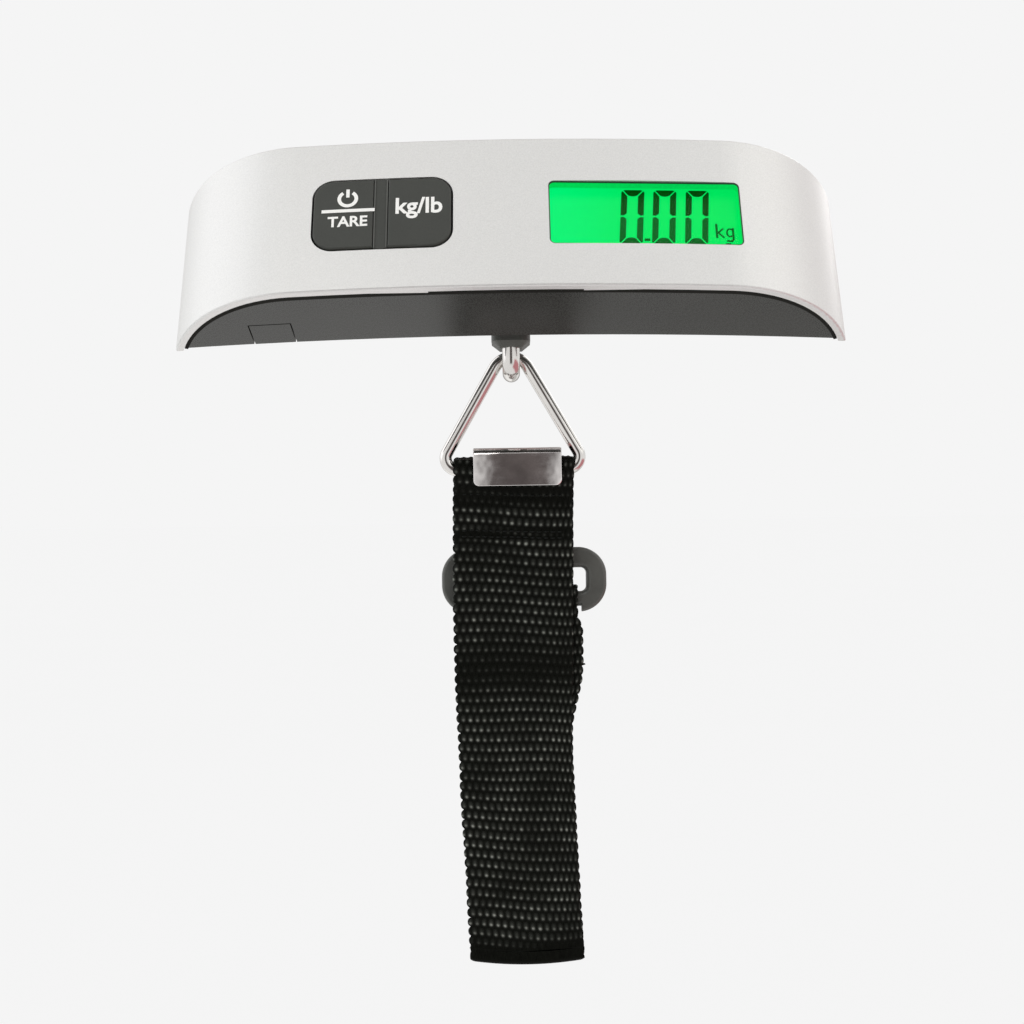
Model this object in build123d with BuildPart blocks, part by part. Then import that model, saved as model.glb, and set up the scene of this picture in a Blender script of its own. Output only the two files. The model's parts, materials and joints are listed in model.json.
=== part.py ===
from build123d import *
import math
import os

# Digital luggage scale: an arched hand grip that holds a load cell, with a swivelling hook, a
# triangular ring and a webbing strap with a buckle.
#
# Millimetres, +Z up.  The origin is the middle of the hand grip.  The scale hangs as it does in the
# hand: the strap falls straight down and the display leans back towards the reader, who is at -Y.
#
# The grip has its own directions: x along it, p from its front edge to its back edge and h from its
# underside to its display.  The strap, ring and hook are drawn straight in X, Y and Z.

# ---------------------------------------------------------------- driving dimensions
LEAN = 27.3              # degrees that the display leans back while the scale hangs

LENGTH = 138.5           # the grip, end to end
DEPTH = 36.5             # the grip, front edge to back edge
CROWN = 21.7             # height of the cover's middle above its two feet
CROWN_R = 657.0          # radius of the cover's long arch
SHOULDER_R = 28.8        # radius of its two shoulders
UNDERSIDE_RISE = 3.2     # the underside is arched too
COVER_T = 1.5
BASE_T = 1.6
SEAM = 0.3               # between the cover and the base
SETBACK = 0.6            # of the base's front and back faces inside the cover's edges
FOOT_LIFT = 0.25         # of the base's two tips above the cover's feet

PAD_X = -25.4            # middle of the key pad
PAD_W = 28.0
PAD_D = 17.1
PAD_R = 4.2
KEY_GAP = 0.25           # round each key
DIVIDER_X = -25.7        # rib between the two keys
DIVIDER_W = 2.2
KEY_PROUD = 0.3          # of the keys above the cover
WEB_TOP = 18.6           # the web that carries the keys, under the cover
WEB_T = 1.0
KEY_FLANGE_TOP = 17.3
KEY_FLANGE_T = 0.7

WINDOW_X = 27.4          # middle of the display window
WINDOW_P = -0.5
WINDOW_W = 38.8
WINDOW_D = 15.6
WINDOW_R = 1.2
LENS_DEPTH = 2.4         # depths below the cover's face, at the middle of the window
LENS_T = 0.8
LCD_DEPTH = 3.3
LCD_T = 1.5
GUIDE_DEPTH = 4.9
GUIDE_T = 1.5
LCD_W = 41.4
LCD_D = 18.8
GUIDE_D = 15.6
FRAME_WALL = 1.0
FRAME_DEPTH = 2.9

BOARD_TOP = 13.2
BOARD_T = 1.2
BOARD_LEFT = -35.0
BOARD_RIGHT = 54.5
BOARD_D = 22.8
BOARD_HOLE_R = 6.5       # round the hook's nut
POST_INSET = 2.6         # board posts, from the board's ends
POST_P = 9.0
POST_R = 2.0

CELL_LEFT = -7.0         # load cell bar
CELL_RIGHT = 37.0
CELL_D = 12.0
CELL_BOTTOM = 5.8
CELL_TOP = 11.4
CELL_HOLE_R = 1.9        # the two holes that make its bending zone
CELL_HOLES = (13.0, 22.0)
CELL_FIXING_X = (30.5, 34.5)
PAD_H = 4.8              # height of the base's pad under the load cell

BAY_X = -49.0            # battery bay, in the underside
DOOR_W = 24.0
DOOR_D = 27.0
DOOR_T = 1.5
DOOR_GAP = 0.25
DOOR_AXIS_P = 14.6       # hinge line of the door
DOOR_AXIS_W = 1.5
BARREL_R = 1.3
HINGE_PIN_R = 0.8
HINGE_PLAY = 0.05
TAB_W = 8.4              # latch tab that laps onto the front face
TAB_H = 6.6
TAB_T = 1.2
COIN_R = 10.0            # CR2032 cell
COIN_T = 3.2
COIN_LIFT = 2.2
WELL_R = 10.5
WELL_T = 1.2
WELL_ROOF = 6.0

SCREW_PLACES = [(x, p) for x in (-32.5, 0.0, 53.0) for p in (-13.8, 13.8)]
SCREW_R = 1.1
SCREW_HEAD_R = 2.0
SCREW_HEAD_H = 1.3
SCREW_SEAT = 1.6         # depth of the seat below the underside
BOSS_R = 2.1
BOSS_PLAY = 0.3          # between a boss and the base's seat

PIN_H = -3.3             # the hook's pin, below the feet of the grip
PIN_R = 1.4
RUNNING_PLAY = 0.05
FORK_R = 4.1
FORK_SLOT = 4.1
STEM_R = 2.6
BUSH_OUTER_R = 6.0
BUSH_BORE_R = 4.5
BUSH_FLANGE_R = 7.6
NUT_FLATS = 7.0
NUT_T = 2.4
WASHER_T = 0.5
WASHER_R = 4.8

LINK_WIRE_R = 1.85
LINK_HALF = 3.3          # from the link's middle line to each leg
LINK_SPAN = 16.14        # between the centres of its two bends
COLLAR_X = 8.2
COLLAR_Y = 13.5
COLLAR_TOP_DROP = 4.8    # below the pin
COLLAR_END_DROP = 14.3
COLLAR_CHAMFER = 1.7

RING_WIRE_R = 1.3
RING_SIDE = 32.2         # sharp corner to sharp corner, on the wire's middle line
RING_APEX_R = 4.1
RING_CORNER_R = 2.5
RING_LIFT = 0.09         # of the apex above the link's lower bend centre

WEB_STRAP_W = 25.0
STRAP_T = 1.3
STRAP_X = 0.5            # the strap sits a little to one side on the ring
TAIL_X = 1.5             # its folded tail sits a little further over
BAR_PLAY = 0.3
STRAP_FOLD_Z = -152.9    # bottom of the hanging fold
FOLD_GAP = 0.3
TOP_HEM = 16.0           # sewn return below the ring
HEM_MERGE = 6.0          # below the ring, where the two layers meet
TAIL_START = 1.8         # of the tail above the fold's centre
TAIL_END_Z = -89.1       # cut end of the tail's sewn return

CLIP_X = 1.0
CLIP_W = 18.7
CLIP_T = 0.8
CLIP_RISE = 4.1          # of its top above the ring's bar, to the sheet's middle
CLIP_LIP = 3.6           # of its front leg below the bar
CLIP_HALF = 3.5          # from the bar to its front and rear legs
CLIP_HOOK_DROP = 5.2
CLIP_HOOK_REACH = 8.9
CLIP_HOOK_TIP = 0.5
CLIP_CORNER_R = 1.2      # of its front leg's lower corners
CLIP_EDGE_ROUND = 0.2

BUCKLE_X = 2.1
BUCKLE_W = 35.4
BUCKLE_H = 13.9
BUCKLE_R = 6.0
BUCKLE_T = 3.0
BUCKLE_Z = -70.9
SLOT_W = 26.6
SLOT_H = 5.1
BAR_H = 3.2              # the bar that the tail wraps

WIRE_R = 0.4             # insulated leads inside the grip

# ---------------------------------------------------------------- frames and derived sizes
os.makedirs("parts", exist_ok=True)

SIN = math.sin(math.radians(LEAN))
COS = math.cos(math.radians(LEAN))
ALONG = Vector(1, 0, 0)
BACK = Vector(0, SIN, COS)
UP = Vector(0, -COS, SIN)
UP_AXIS = Axis((0, 0, 0), UP)
GRIP_H = (CROWN + UNDERSIDE_RISE) / 2
BASE_HALF = DEPTH / 2 - SETBACK
CROWN_CENTRE_H = CROWN - CROWN_R


def place(x, p, h):
    """Point of the grip in the part's frame."""
    return ALONG * x + BACK * p + UP * (h - GRIP_H)


def level(h, x=0.0, p=0.0, slope=0.0):
    """Sketch plane facing the display side: its X along the grip, its Y towards the back edge."""
    turn = math.radians(slope)
    run = ALONG * math.cos(turn) + UP * math.sin(turn)
    normal = UP * math.cos(turn) - ALONG * math.sin(turn)
    return Plane(origin=place(x, p, h), x_dir=run, z_dir=normal)


def section(p):
    """Sketch plane across the grip's depth: its X along the grip, its Y towards the display."""
    return Plane(origin=place(0, p, 0), x_dir=ALONG, z_dir=BACK * -1)


def slice_at(x):
    """Sketch plane across the grip's length: its X towards the back edge, its Y to the display."""
    return Plane(origin=place(x, 0, 0), x_dir=BACK, z_dir=ALONG)


def shoulder_centre():
    """Centre of the right shoulder's arc, tangent to the crown and ending at the foot."""
    reach = CROWN_R - SHOULDER_R
    span = math.hypot(LENGTH / 2, CROWN_CENTRE_H)
    along = (reach ** 2 - SHOULDER_R ** 2 + span ** 2) / (2 * span)
    across = math.sqrt(reach ** 2 - along ** 2)
    unit_x = LENGTH / 2 / span
    unit_h = -CROWN_CENTRE_H / span
    return unit_x * along - unit_h * across, CROWN_CENTRE_H + unit_h * along + unit_x * across


SHOULDER_X, SHOULDER_H = shoulder_centre()
TANGENT = math.atan2(SHOULDER_X, SHOULDER_H - CROWN_CENTRE_H)


def arch_points(inset, foot):
    """Tangent point, shoulder middle and foot of the arch, set in by inset, on its right side."""
    crown_r = CROWN_R - inset
    shoulder_r = SHOULDER_R - inset
    tangent = (crown_r * math.sin(TANGENT), CROWN_CENTRE_H + crown_r * math.cos(TANGENT))
    foot_turn = math.acos((foot - SHOULDER_H) / shoulder_r)
    middle_turn = (TANGENT + foot_turn) / 2
    middle = (
        SHOULDER_X + shoulder_r * math.sin(middle_turn),
        SHOULDER_H + shoulder_r * math.cos(middle_turn),
    )
    end = (SHOULDER_X + shoulder_r * math.sin(foot_turn), foot)
    return tangent, middle, end


def mirrored(point):
    return -point[0], point[1]


def arch_face(inset, foot, rise, mode=Mode.ADD):
    """Face between the arch and an underside that rises to its middle, in the current sketch."""
    tangent, middle, end = arch_points(inset, foot)
    with BuildLine() as outline:
        ThreePointArc(mirrored(tangent), (0, CROWN - inset), tangent)
        ThreePointArc(tangent, middle, end)
        ThreePointArc(mirrored(tangent), mirrored(middle), mirrored(end))
        ThreePointArc(end, (0, rise), mirrored(end))
    make_face(outline.edges(), mode=mode)


def cover_height(x, inset=0.0):
    """Height of the arch over a place along the grip."""
    if abs(x) < (CROWN_R - inset) * math.sin(TANGENT):
        return CROWN_CENTRE_H + math.sqrt((CROWN_R - inset) ** 2 - x ** 2)
    return SHOULDER_H + math.sqrt((SHOULDER_R - inset) ** 2 - (abs(x) - SHOULDER_X) ** 2)


def underside(x):
    """Height of the underside at a place along the grip."""
    return UNDERSIDE_RISE * (1 - (2 * x / LENGTH) ** 2)


def on_cover_rim(edge):
    """Whether an edge is one of the cover's long outer edges, front or back."""
    if edge.geom_type != GeomType.CIRCLE:
        return False
    return min(abs(edge.radius - CROWN_R), abs(edge.radius - SHOULDER_R)) < 0.01


def finish(builder, name):
    builder.part.label = name
    export_step(builder.part, "parts/" + name + ".step")


PIN = place(0, 0, PIN_H)
HANG_Y = PIN.Y
LINK_LOW_Z = PIN.Z - LINK_SPAN
RING_APEX_Z = LINK_LOW_Z + RING_LIFT
BAR_Z = RING_APEX_Z + RING_APEX_R - RING_SIDE * math.sqrt(3) / 2
FOLD_Y = HANG_Y + FOLD_GAP / 2
FOLD_OUTER_R = STRAP_T + FOLD_GAP / 2
FOLD_Z = STRAP_FOLD_Z + FOLD_OUTER_R
TAIL_Y = HANG_Y + FOLD_GAP
LOOP_BORE_R = BAR_H / 2 + 0.45   # clears the bar's rounded corners
LOOP_OUTER_R = LOOP_BORE_R + STRAP_T
BUCKLE_Y = TAIL_Y + LOOP_OUTER_R
BUCKLE_WALL = (BUCKLE_H - SLOT_H) / 2
BUCKLE_BAR_Z = BUCKLE_Z - SLOT_H / 2 - BAR_H / 2

WINDOW_SLOPE = -math.degrees(math.asin(WINDOW_X / CROWN_R))
BAY_SLOPE = math.degrees(math.atan(-8 * UNDERSIDE_RISE * BAY_X / LENGTH ** 2))
SCREW_LIFT = {}
for screw_x, screw_p in SCREW_PLACES:
    SCREW_LIFT[(screw_x, screw_p)] = underside(screw_x) + SCREW_SEAT


def behind_window(depth):
    """Sketch plane behind the display window, at a depth below the cover's face."""
    face = level(cover_height(WINDOW_X), x=WINDOW_X, p=WINDOW_P, slope=WINDOW_SLOPE)
    return face.offset(-depth)


def over_bay(lift):
    """Sketch plane over the battery door, at a height above the underside."""
    return level(underside(BAY_X), x=BAY_X, slope=BAY_SLOPE).offset(lift)


def pad_outline(grow):
    with Locations((PAD_X, 0)):
        RectangleRounded(PAD_W + 2 * grow, PAD_D + 2 * grow, PAD_R + grow)


def key_outline(side, grow=0.0):
    """One key's outline: the pad up to the divider, side -1 for the power key, 1 for the unit key."""
    pad_outline(grow)
    edge = DIVIDER_X + side * (DIVIDER_W / 2 + KEY_GAP - grow)
    with Locations((edge + side * PAD_W / 2, 0)):
        Rectangle(PAD_W, PAD_D * 2, mode=Mode.INTERSECT)


# ---------------------------------------------------------------- cover and base
WALL_LAP = 0.6           # how far a boss runs into the cover's wall
EDGE_ROUND = 0.45
SNAP_TABS = (-21.9, 20.3)
SNAP_TAB_L = 11.6
SNAP_TAB_T = 0.5

with BuildPart() as top_cover:
    for (screw_x, screw_p), seat in SCREW_LIFT.items():
        with BuildSketch(level(seat + BOSS_PLAY)):
            with Locations((screw_x, screw_p)):
                Circle(BOSS_R)
        extrude(amount=CROWN)
    with BuildSketch(section(0)):
        arch_face(WALL_LAP, 0, -2.0)
    extrude(amount=BASE_HALF - 0.1, both=True, mode=Mode.INTERSECT)
    with BuildSketch(section(0)):
        arch_face(0, 0, UNDERSIDE_RISE)
        arch_face(COVER_T, -1.0, -6.0, mode=Mode.SUBTRACT)
    extrude(amount=DEPTH / 2, both=True)
    fillet(top_cover.edges().filter_by(on_cover_rim), EDGE_ROUND)
    with BuildSketch(level(PIN_H)):
        pad_outline(KEY_GAP)
    extrude(amount=CROWN * 2, mode=Mode.SUBTRACT)
    with BuildSketch(behind_window(LCD_DEPTH)):
        RectangleRounded(WINDOW_W, WINDOW_D, WINDOW_R)
    extrude(amount=LCD_DEPTH * 2, mode=Mode.SUBTRACT)
    for (screw_x, screw_p), seat in SCREW_LIFT.items():
        with BuildSketch(level(seat)):
            with Locations((screw_x, screw_p)):
                Circle(SCREW_R + 0.02)
        extrude(amount=min(8.0, cover_height(abs(screw_x) + BOSS_R, COVER_T) - seat), mode=Mode.SUBTRACT)
    for tab_x in SNAP_TABS:
        with BuildSketch(level(cover_height(tab_x, COVER_T) - SNAP_TAB_T)):
            with Locations((tab_x, -DEPTH / 2 + SETBACK * 0.65)):
                Rectangle(SNAP_TAB_L, SETBACK * 0.7)
        extrude(amount=SNAP_TAB_T + COVER_T / 2)
finish(top_cover, "top_cover")

CAVITY_HALF = BASE_HALF - BASE_T
TAB_SHIFT = 0.6          # of the latch tab from the door's middle
WELL_LIP = 1.0           # of the well beyond the door, where it joins the base
HINGE_BLOCK_X = DOOR_W / 2 - 0.3
HINGE_BLOCK_W = 4.2
HINGE_BLOCK_D = 4.6
BARREL_INSET = 2.4       # of the base's barrel slot from the door's ends
CELL_PAD_L = 11.0        # pad under the load cell's fixed end

with BuildPart() as base_shell:
    with BuildSketch(section(0)):
        arch_face(COVER_T + SEAM, FOOT_LIFT, UNDERSIDE_RISE)
    extrude(amount=BASE_HALF, both=True)
    with BuildSketch(section(0)):
        arch_face(COVER_T + SEAM - 0.5, FOOT_LIFT + BASE_T, UNDERSIDE_RISE + BASE_T)
    extrude(amount=CAVITY_HALF, both=True, mode=Mode.SUBTRACT)
    # pad under the load cell and posts for the board
    pad_foot = underside(CELL_RIGHT) + 0.6
    with BuildSketch(level(pad_foot, x=sum(CELL_FIXING_X) / 2)):
        Rectangle(CELL_PAD_L, CELL_D + 2)
    extrude(amount=PAD_H - pad_foot)
    for post_x in (BOARD_LEFT + POST_INSET, BOARD_RIGHT - POST_INSET):
        with BuildSketch(level(underside(post_x) + 0.6)):
            with Locations((post_x, -POST_P), (post_x, POST_P)):
                Circle(POST_R)
        extrude(amount=BOARD_TOP - BOARD_T - underside(post_x) - 0.6)
    # battery well with its roof
    with BuildSketch(over_bay(BASE_T / 2)):
        RectangleRounded(DOOR_W + 2 * WELL_LIP, 2 * (WELL_R + WELL_T), 2.0)
    extrude(amount=WELL_ROOF + WELL_T - BASE_T / 2)
    # raised seats for the cover's screws
    for (screw_x, screw_p), seat in SCREW_LIFT.items():
        with BuildSketch(level(underside(screw_x) + 0.4)):
            with Locations((screw_x, screw_p)):
                Circle(SCREW_HEAD_R + 1.0)
        extrude(amount=SCREW_SEAT - 0.4)
    with BuildSketch(section(0)):
        arch_face(COVER_T + SEAM, FOOT_LIFT, UNDERSIDE_RISE)
    extrude(amount=BASE_HALF, both=True, mode=Mode.INTERSECT)
    # hook hole, battery well, door recess with its tab notch, and hinge bores
    with BuildSketch(level(0)):
        Circle(BUSH_OUTER_R + 0.02)
    extrude(amount=CELL_BOTTOM, mode=Mode.SUBTRACT)
    with BuildSketch(over_bay(-2)):
        Circle(WELL_R)
    extrude(amount=WELL_ROOF + 2, mode=Mode.SUBTRACT)
    with BuildSketch(over_bay(-2)):
        with Locations((0, DOOR_AXIS_P - DOOR_GAP - DOOR_D / 2)):
            Rectangle(DOOR_W + 2 * DOOR_GAP, DOOR_D + 4 * DOOR_GAP)
    extrude(amount=2 + DOOR_T + DOOR_GAP, mode=Mode.SUBTRACT)
    with BuildSketch(over_bay(-2)):
        with Locations((TAB_SHIFT, -BASE_HALF)):
            Rectangle(TAB_W + 2 * DOOR_GAP, 2 * (TAB_T + DOOR_GAP))
        with Locations((TAB_SHIFT, -BASE_HALF + 4)):
            Rectangle(TAB_W + 2 * DOOR_GAP, 8)
    extrude(amount=2 + DOOR_T + DOOR_GAP, mode=Mode.SUBTRACT)
    with BuildSketch(over_bay(-2)):
        with Locations((TAB_SHIFT, -BASE_HALF)):
            Rectangle(TAB_W + 2 * DOOR_GAP, 2 * (TAB_T + DOOR_GAP))
    extrude(amount=2 + TAB_H + DOOR_GAP, mode=Mode.SUBTRACT)
    for side in (-1, 1):
        with BuildSketch(over_bay(0.4)):
            with Locations((side * HINGE_BLOCK_X, DOOR_AXIS_P)):
                Rectangle(HINGE_BLOCK_W, HINGE_BLOCK_D)
        extrude(amount=DOOR_AXIS_W + BARREL_R + 0.2)
    hinge_line = over_bay(DOOR_AXIS_W)
    hinge_plane = Plane(
        origin=hinge_line.from_local_coords((0, DOOR_AXIS_P, 0)),
        x_dir=hinge_line.y_dir,
        z_dir=hinge_line.x_dir,
    )
    with BuildSketch(hinge_plane):
        Circle(HINGE_PIN_R + HINGE_PLAY)
    extrude(amount=DOOR_W / 2 + 1.4, both=True, mode=Mode.SUBTRACT)
    with BuildSketch(hinge_plane):
        Circle(BARREL_R + DOOR_GAP)
        with Locations((-BARREL_R, 0)):
            Rectangle(2 * BARREL_R, 2 * (BARREL_R + DOOR_GAP))
        with Locations((0, -BARREL_R)):
            Rectangle(2 * (DOOR_AXIS_W + DOOR_GAP), 2 * BARREL_R)
    extrude(amount=DOOR_W / 2 - BARREL_INSET, both=True, mode=Mode.SUBTRACT)
    # screw holes with their heads' recesses
    for (screw_x, screw_p), seat in SCREW_LIFT.items():
        with BuildSketch(level(seat)):
            with Locations((screw_x, screw_p)):
                Circle(SCREW_HEAD_R + 0.2)
        extrude(amount=-SCREW_SEAT * 3, mode=Mode.SUBTRACT)
        with BuildSketch(level(seat)):
            with Locations((screw_x, screw_p)):
                Circle(SCREW_R + 0.2)
        extrude(amount=2.0, mode=Mode.SUBTRACT)
finish(base_shell, "base_shell")

# ---------------------------------------------------------------- battery door and cell
with BuildPart() as battery_door:
    with BuildSketch(over_bay(0)):
        with Locations((0, DOOR_AXIS_P - DOOR_GAP - DOOR_D / 2)):
            Rectangle(DOOR_W, DOOR_D)
    extrude(amount=DOOR_T)
    with BuildSketch(over_bay(0)):
        with Locations((TAB_SHIFT, -BASE_HALF + (TAB_T + 4) / 2)):
            Rectangle(TAB_W, TAB_T + 4)
    extrude(amount=DOOR_T)
    with BuildSketch(over_bay(0)):
        with Locations((TAB_SHIFT, -BASE_HALF + TAB_T / 2)):
            Rectangle(TAB_W, TAB_T)
    extrude(amount=TAB_H)
    with BuildSketch(hinge_plane):
        Circle(BARREL_R + DOOR_GAP)
        with Locations((-BARREL_R, 0)):
            Rectangle(2 * BARREL_R, 2 * (BARREL_R + DOOR_GAP))
    extrude(amount=DOOR_W, both=True, mode=Mode.SUBTRACT)
    for side in (-1, 1):
        with BuildSketch(over_bay(-1)):
            with Locations((side * HINGE_BLOCK_X, DOOR_AXIS_P)):
                Rectangle(HINGE_BLOCK_W + 2 * DOOR_GAP, HINGE_BLOCK_D + 2 * DOOR_GAP)
        extrude(amount=DOOR_T + 2, mode=Mode.SUBTRACT)
    with BuildSketch(hinge_plane):
        Circle(BARREL_R)
        with Locations((-BARREL_R, -(DOOR_AXIS_W - DOOR_T / 2))):
            Rectangle(2 * BARREL_R + 0.6, DOOR_T)
    extrude(amount=DOOR_W / 2 - BARREL_INSET - DOOR_GAP, both=True)
    with BuildSketch(hinge_plane):
        Circle(HINGE_PIN_R)
    extrude(amount=DOOR_W / 2 + 1.2, both=True)
finish(battery_door, "battery_door")

with BuildPart() as coin_cell:
    with BuildSketch(over_bay(COIN_LIFT)):
        Circle(COIN_R)
    extrude(amount=COIN_T)
    fillet(coin_cell.faces().sort_by(UP_AXIS)[-1].edges(), 0.5)
    with BuildSketch(over_bay(COIN_LIFT + COIN_T)):
        Circle(COIN_R * 0.86)
    extrude(amount=0.15)
finish(coin_cell, "coin_cell")

CONTACT_T = 0.3
with BuildPart() as battery_contact_negative:
    with BuildSketch(over_bay(WELL_ROOF - CONTACT_T)):
        Rectangle(11.0, 4.0)
        with Locations((6.0, 0)):
            Circle(2.6)
    extrude(amount=CONTACT_T - 0.02)
finish(battery_contact_negative, "battery_contact_negative")

with BuildPart() as battery_contact_positive:
    with BuildSketch(over_bay(COIN_LIFT)):
        Circle(WELL_R - 0.05)
        Circle(WELL_R - 0.05 - CONTACT_T, mode=Mode.SUBTRACT)
        with Locations((-WELL_R, 0)):
            Rectangle(WELL_R, 5.0, mode=Mode.INTERSECT)
    extrude(amount=COIN_T)
finish(battery_contact_positive, "battery_contact_positive")

# ---------------------------------------------------------------- screws
CROSS_L = 2.6            # cross recess of a cover screw
CROSS_W = 0.5
CROSS_D = 0.7

with BuildPart() as cover_screws:
    for (screw_x, screw_p), seat in SCREW_LIFT.items():
        with BuildSketch(level(seat - SCREW_HEAD_H)):
            with Locations((screw_x, screw_p)):
                Circle(SCREW_HEAD_R)
        extrude(amount=SCREW_HEAD_H - 0.02)
        room = cover_height(abs(screw_x) + BOSS_R, COVER_T) - seat
        with BuildSketch(level(seat - SCREW_HEAD_H / 2)):
            with Locations((screw_x, screw_p)):
                Circle(SCREW_R)
        extrude(amount=SCREW_HEAD_H / 2 + min(7.4, room - 0.5))
        with BuildSketch(level(seat - SCREW_HEAD_H)):
            with Locations((screw_x, screw_p)):
                Rectangle(CROSS_L, CROSS_W)
                Rectangle(CROSS_W, CROSS_L)
        extrude(amount=CROSS_D, mode=Mode.SUBTRACT)
finish(cover_screws, "cover_screws")

BOARD_FIXING_X = (BOARD_LEFT + POST_INSET, BOARD_RIGHT - POST_INSET)
BOARD_FIXINGS = [(x, p) for x in BOARD_FIXING_X for p in (-POST_P, POST_P)]
with BuildPart() as board_screws:
    with BuildSketch(level(BOARD_TOP + 0.02)):
        with Locations(*BOARD_FIXINGS):
            Circle(1.7)
    extrude(amount=1.0)
    with BuildSketch(level(BOARD_TOP + 0.5)):
        with Locations(*BOARD_FIXINGS):
            Circle(0.8)
    extrude(amount=-BOARD_T - 0.4)
finish(board_screws, "board_screws")

# ---------------------------------------------------------------- board and what it carries
SWITCH_PLACES = (((PAD_X - PAD_W / 2 + DIVIDER_X) / 2, 0), ((PAD_X + PAD_W / 2 + DIVIDER_X) / 2, 0))
SWITCH_W = 6.0
SWITCH_T = 1.8
SWITCH_KNOB_R = 1.6
SWITCH_KNOB_T = 0.4

with BuildPart() as circuit_board:
    with BuildSketch(level(BOARD_TOP - BOARD_T, x=(BOARD_LEFT + BOARD_RIGHT) / 2)):
        RectangleRounded(BOARD_RIGHT - BOARD_LEFT, BOARD_D, 1.0)
    extrude(amount=BOARD_T)
    with BuildSketch(level(BOARD_TOP - BOARD_T)):
        Circle(BOARD_HOLE_R)
        with Locations(*BOARD_FIXINGS):
            Circle(0.9)
    extrude(amount=BOARD_T, mode=Mode.SUBTRACT)
finish(circuit_board, "circuit_board")

with BuildPart() as tact_switches:
    with BuildSketch(level(BOARD_TOP + 0.02)):
        with Locations(*SWITCH_PLACES):
            Rectangle(SWITCH_W, SWITCH_W)
    extrude(amount=SWITCH_T)
    with BuildSketch(level(BOARD_TOP + SWITCH_T)):
        with Locations(*SWITCH_PLACES):
            Circle(SWITCH_KNOB_R)
    extrude(amount=SWITCH_KNOB_T)
finish(tact_switches, "tact_switches")

with BuildPart() as controller_chip:
    with BuildSketch(level(BOARD_TOP - BOARD_T - 0.02, x=-21.0)):
        RectangleRounded(9.0, 9.0, 0.6)
    extrude(amount=-1.4)
finish(controller_chip, "controller_chip")

SMALL_PARTS = ((-29.0, 6.5), (-29.0, -6.5), (-13.0, 7.5), (-13.0, 3.0), (-13.0, -7.5), (41.0, 6.0))
with BuildPart() as board_components:
    with BuildSketch(level(BOARD_TOP - BOARD_T - 0.02)):
        with Locations(*SMALL_PARTS):
            Rectangle(2.0, 1.25)
    extrude(amount=-0.9)
finish(board_components, "board_components")

# ---------------------------------------------------------------- display stack
with BuildPart() as display_lens:
    with BuildSketch(behind_window(LENS_DEPTH + LENS_T)):
        RectangleRounded(LCD_W, LCD_D, 0.8)
    extrude(amount=LENS_T)
finish(display_lens, "display_lens")

with BuildPart() as lcd_panel:
    with BuildSketch(behind_window(LCD_DEPTH + LCD_T)):
        Rectangle(LCD_W, LCD_D)
    extrude(amount=LCD_T)
finish(lcd_panel, "lcd_panel")

GUIDE_SHIFT = (LCD_D - GUIDE_D) / 2
with BuildPart() as backlight_guide:
    with BuildSketch(behind_window(GUIDE_DEPTH + GUIDE_T)):
        with Locations((0, GUIDE_SHIFT)):
            RectangleRounded(LCD_W - 3.0, GUIDE_D - 0.4, 0.6)
    extrude(amount=GUIDE_T)
finish(backlight_guide, "backlight_guide")

with BuildPart() as backlight_leds:
    with BuildSketch(behind_window(GUIDE_DEPTH + GUIDE_T)):
        with Locations((LCD_W / 2 - 0.8, GUIDE_SHIFT - 3.5), (LCD_W / 2 - 0.8, GUIDE_SHIFT + 3.5)):
            Rectangle(1.0, 3.0)
    extrude(amount=GUIDE_T - 0.4)
finish(backlight_leds, "backlight_leds")

with BuildPart() as lcd_frame:
    with BuildSketch(behind_window(FRAME_DEPTH)):
        Rectangle(LCD_W + 2 * FRAME_WALL + 0.3, LCD_D + 2 * FRAME_WALL + 0.3)
        Rectangle(LCD_W + 0.3, LCD_D + 0.3, mode=Mode.SUBTRACT)
    extrude(amount=-CROWN / 2)
    split(bisect_by=level(BOARD_TOP + 0.05), keep=Keep.TOP)
finish(lcd_frame, "lcd_frame")

with BuildPart() as zebra_strip:
    with BuildSketch(behind_window(LCD_DEPTH + LCD_T + 0.02)):
        with Locations((0, -LCD_D / 2 + 1.2)):
            Rectangle(LCD_W - 4.0, 1.8)
    extrude(amount=-CROWN / 2)
    split(bisect_by=level(BOARD_TOP + 0.02), keep=Keep.TOP)
finish(zebra_strip, "zebra_strip")

# ---------------------------------------------------------------- keys
KEY_EDGE_ROUND = 0.4
KEY_POCKET_R = 2.0
KEY_POCKET_D = 1.2
PLUNGER_FOOT_R = 2.6
PLUNGER_FOOT_T = 0.5


def arched_to(inset):
    """Cut the current part off along the arch, set in by inset."""
    with BuildSketch(section(0)) as arch:
        arch_face(inset, 0, -2.0)
    extrude(arch.sketch, amount=DEPTH, both=True, mode=Mode.INTERSECT)


def make_key(side):
    """A rubber key with its flange under the web and a pocket for its plunger."""
    with BuildPart() as key:
        with BuildSketch(level(KEY_FLANGE_TOP - KEY_FLANGE_T)):
            key_outline(side, grow=-KEY_GAP / 2)
        extrude(amount=CROWN)
        arched_to(-KEY_PROUD)
        fillet(key.faces().sort_by(UP_AXIS)[-1].edges(), KEY_EDGE_ROUND)
        with BuildSketch(level(KEY_FLANGE_TOP)):
            with Locations((DIVIDER_X + side * (PAD_W / 4 + 0.6), 0)):
                Rectangle(PAD_W / 2 + 0.4, PAD_D + 2.0)
        extrude(amount=-KEY_FLANGE_T)
        with BuildSketch(level(KEY_FLANGE_TOP - KEY_FLANGE_T)):
            with Locations(SWITCH_PLACES[side > 0]):
                Circle(KEY_POCKET_R)
        extrude(amount=KEY_POCKET_D, mode=Mode.SUBTRACT)
    return key


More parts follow.
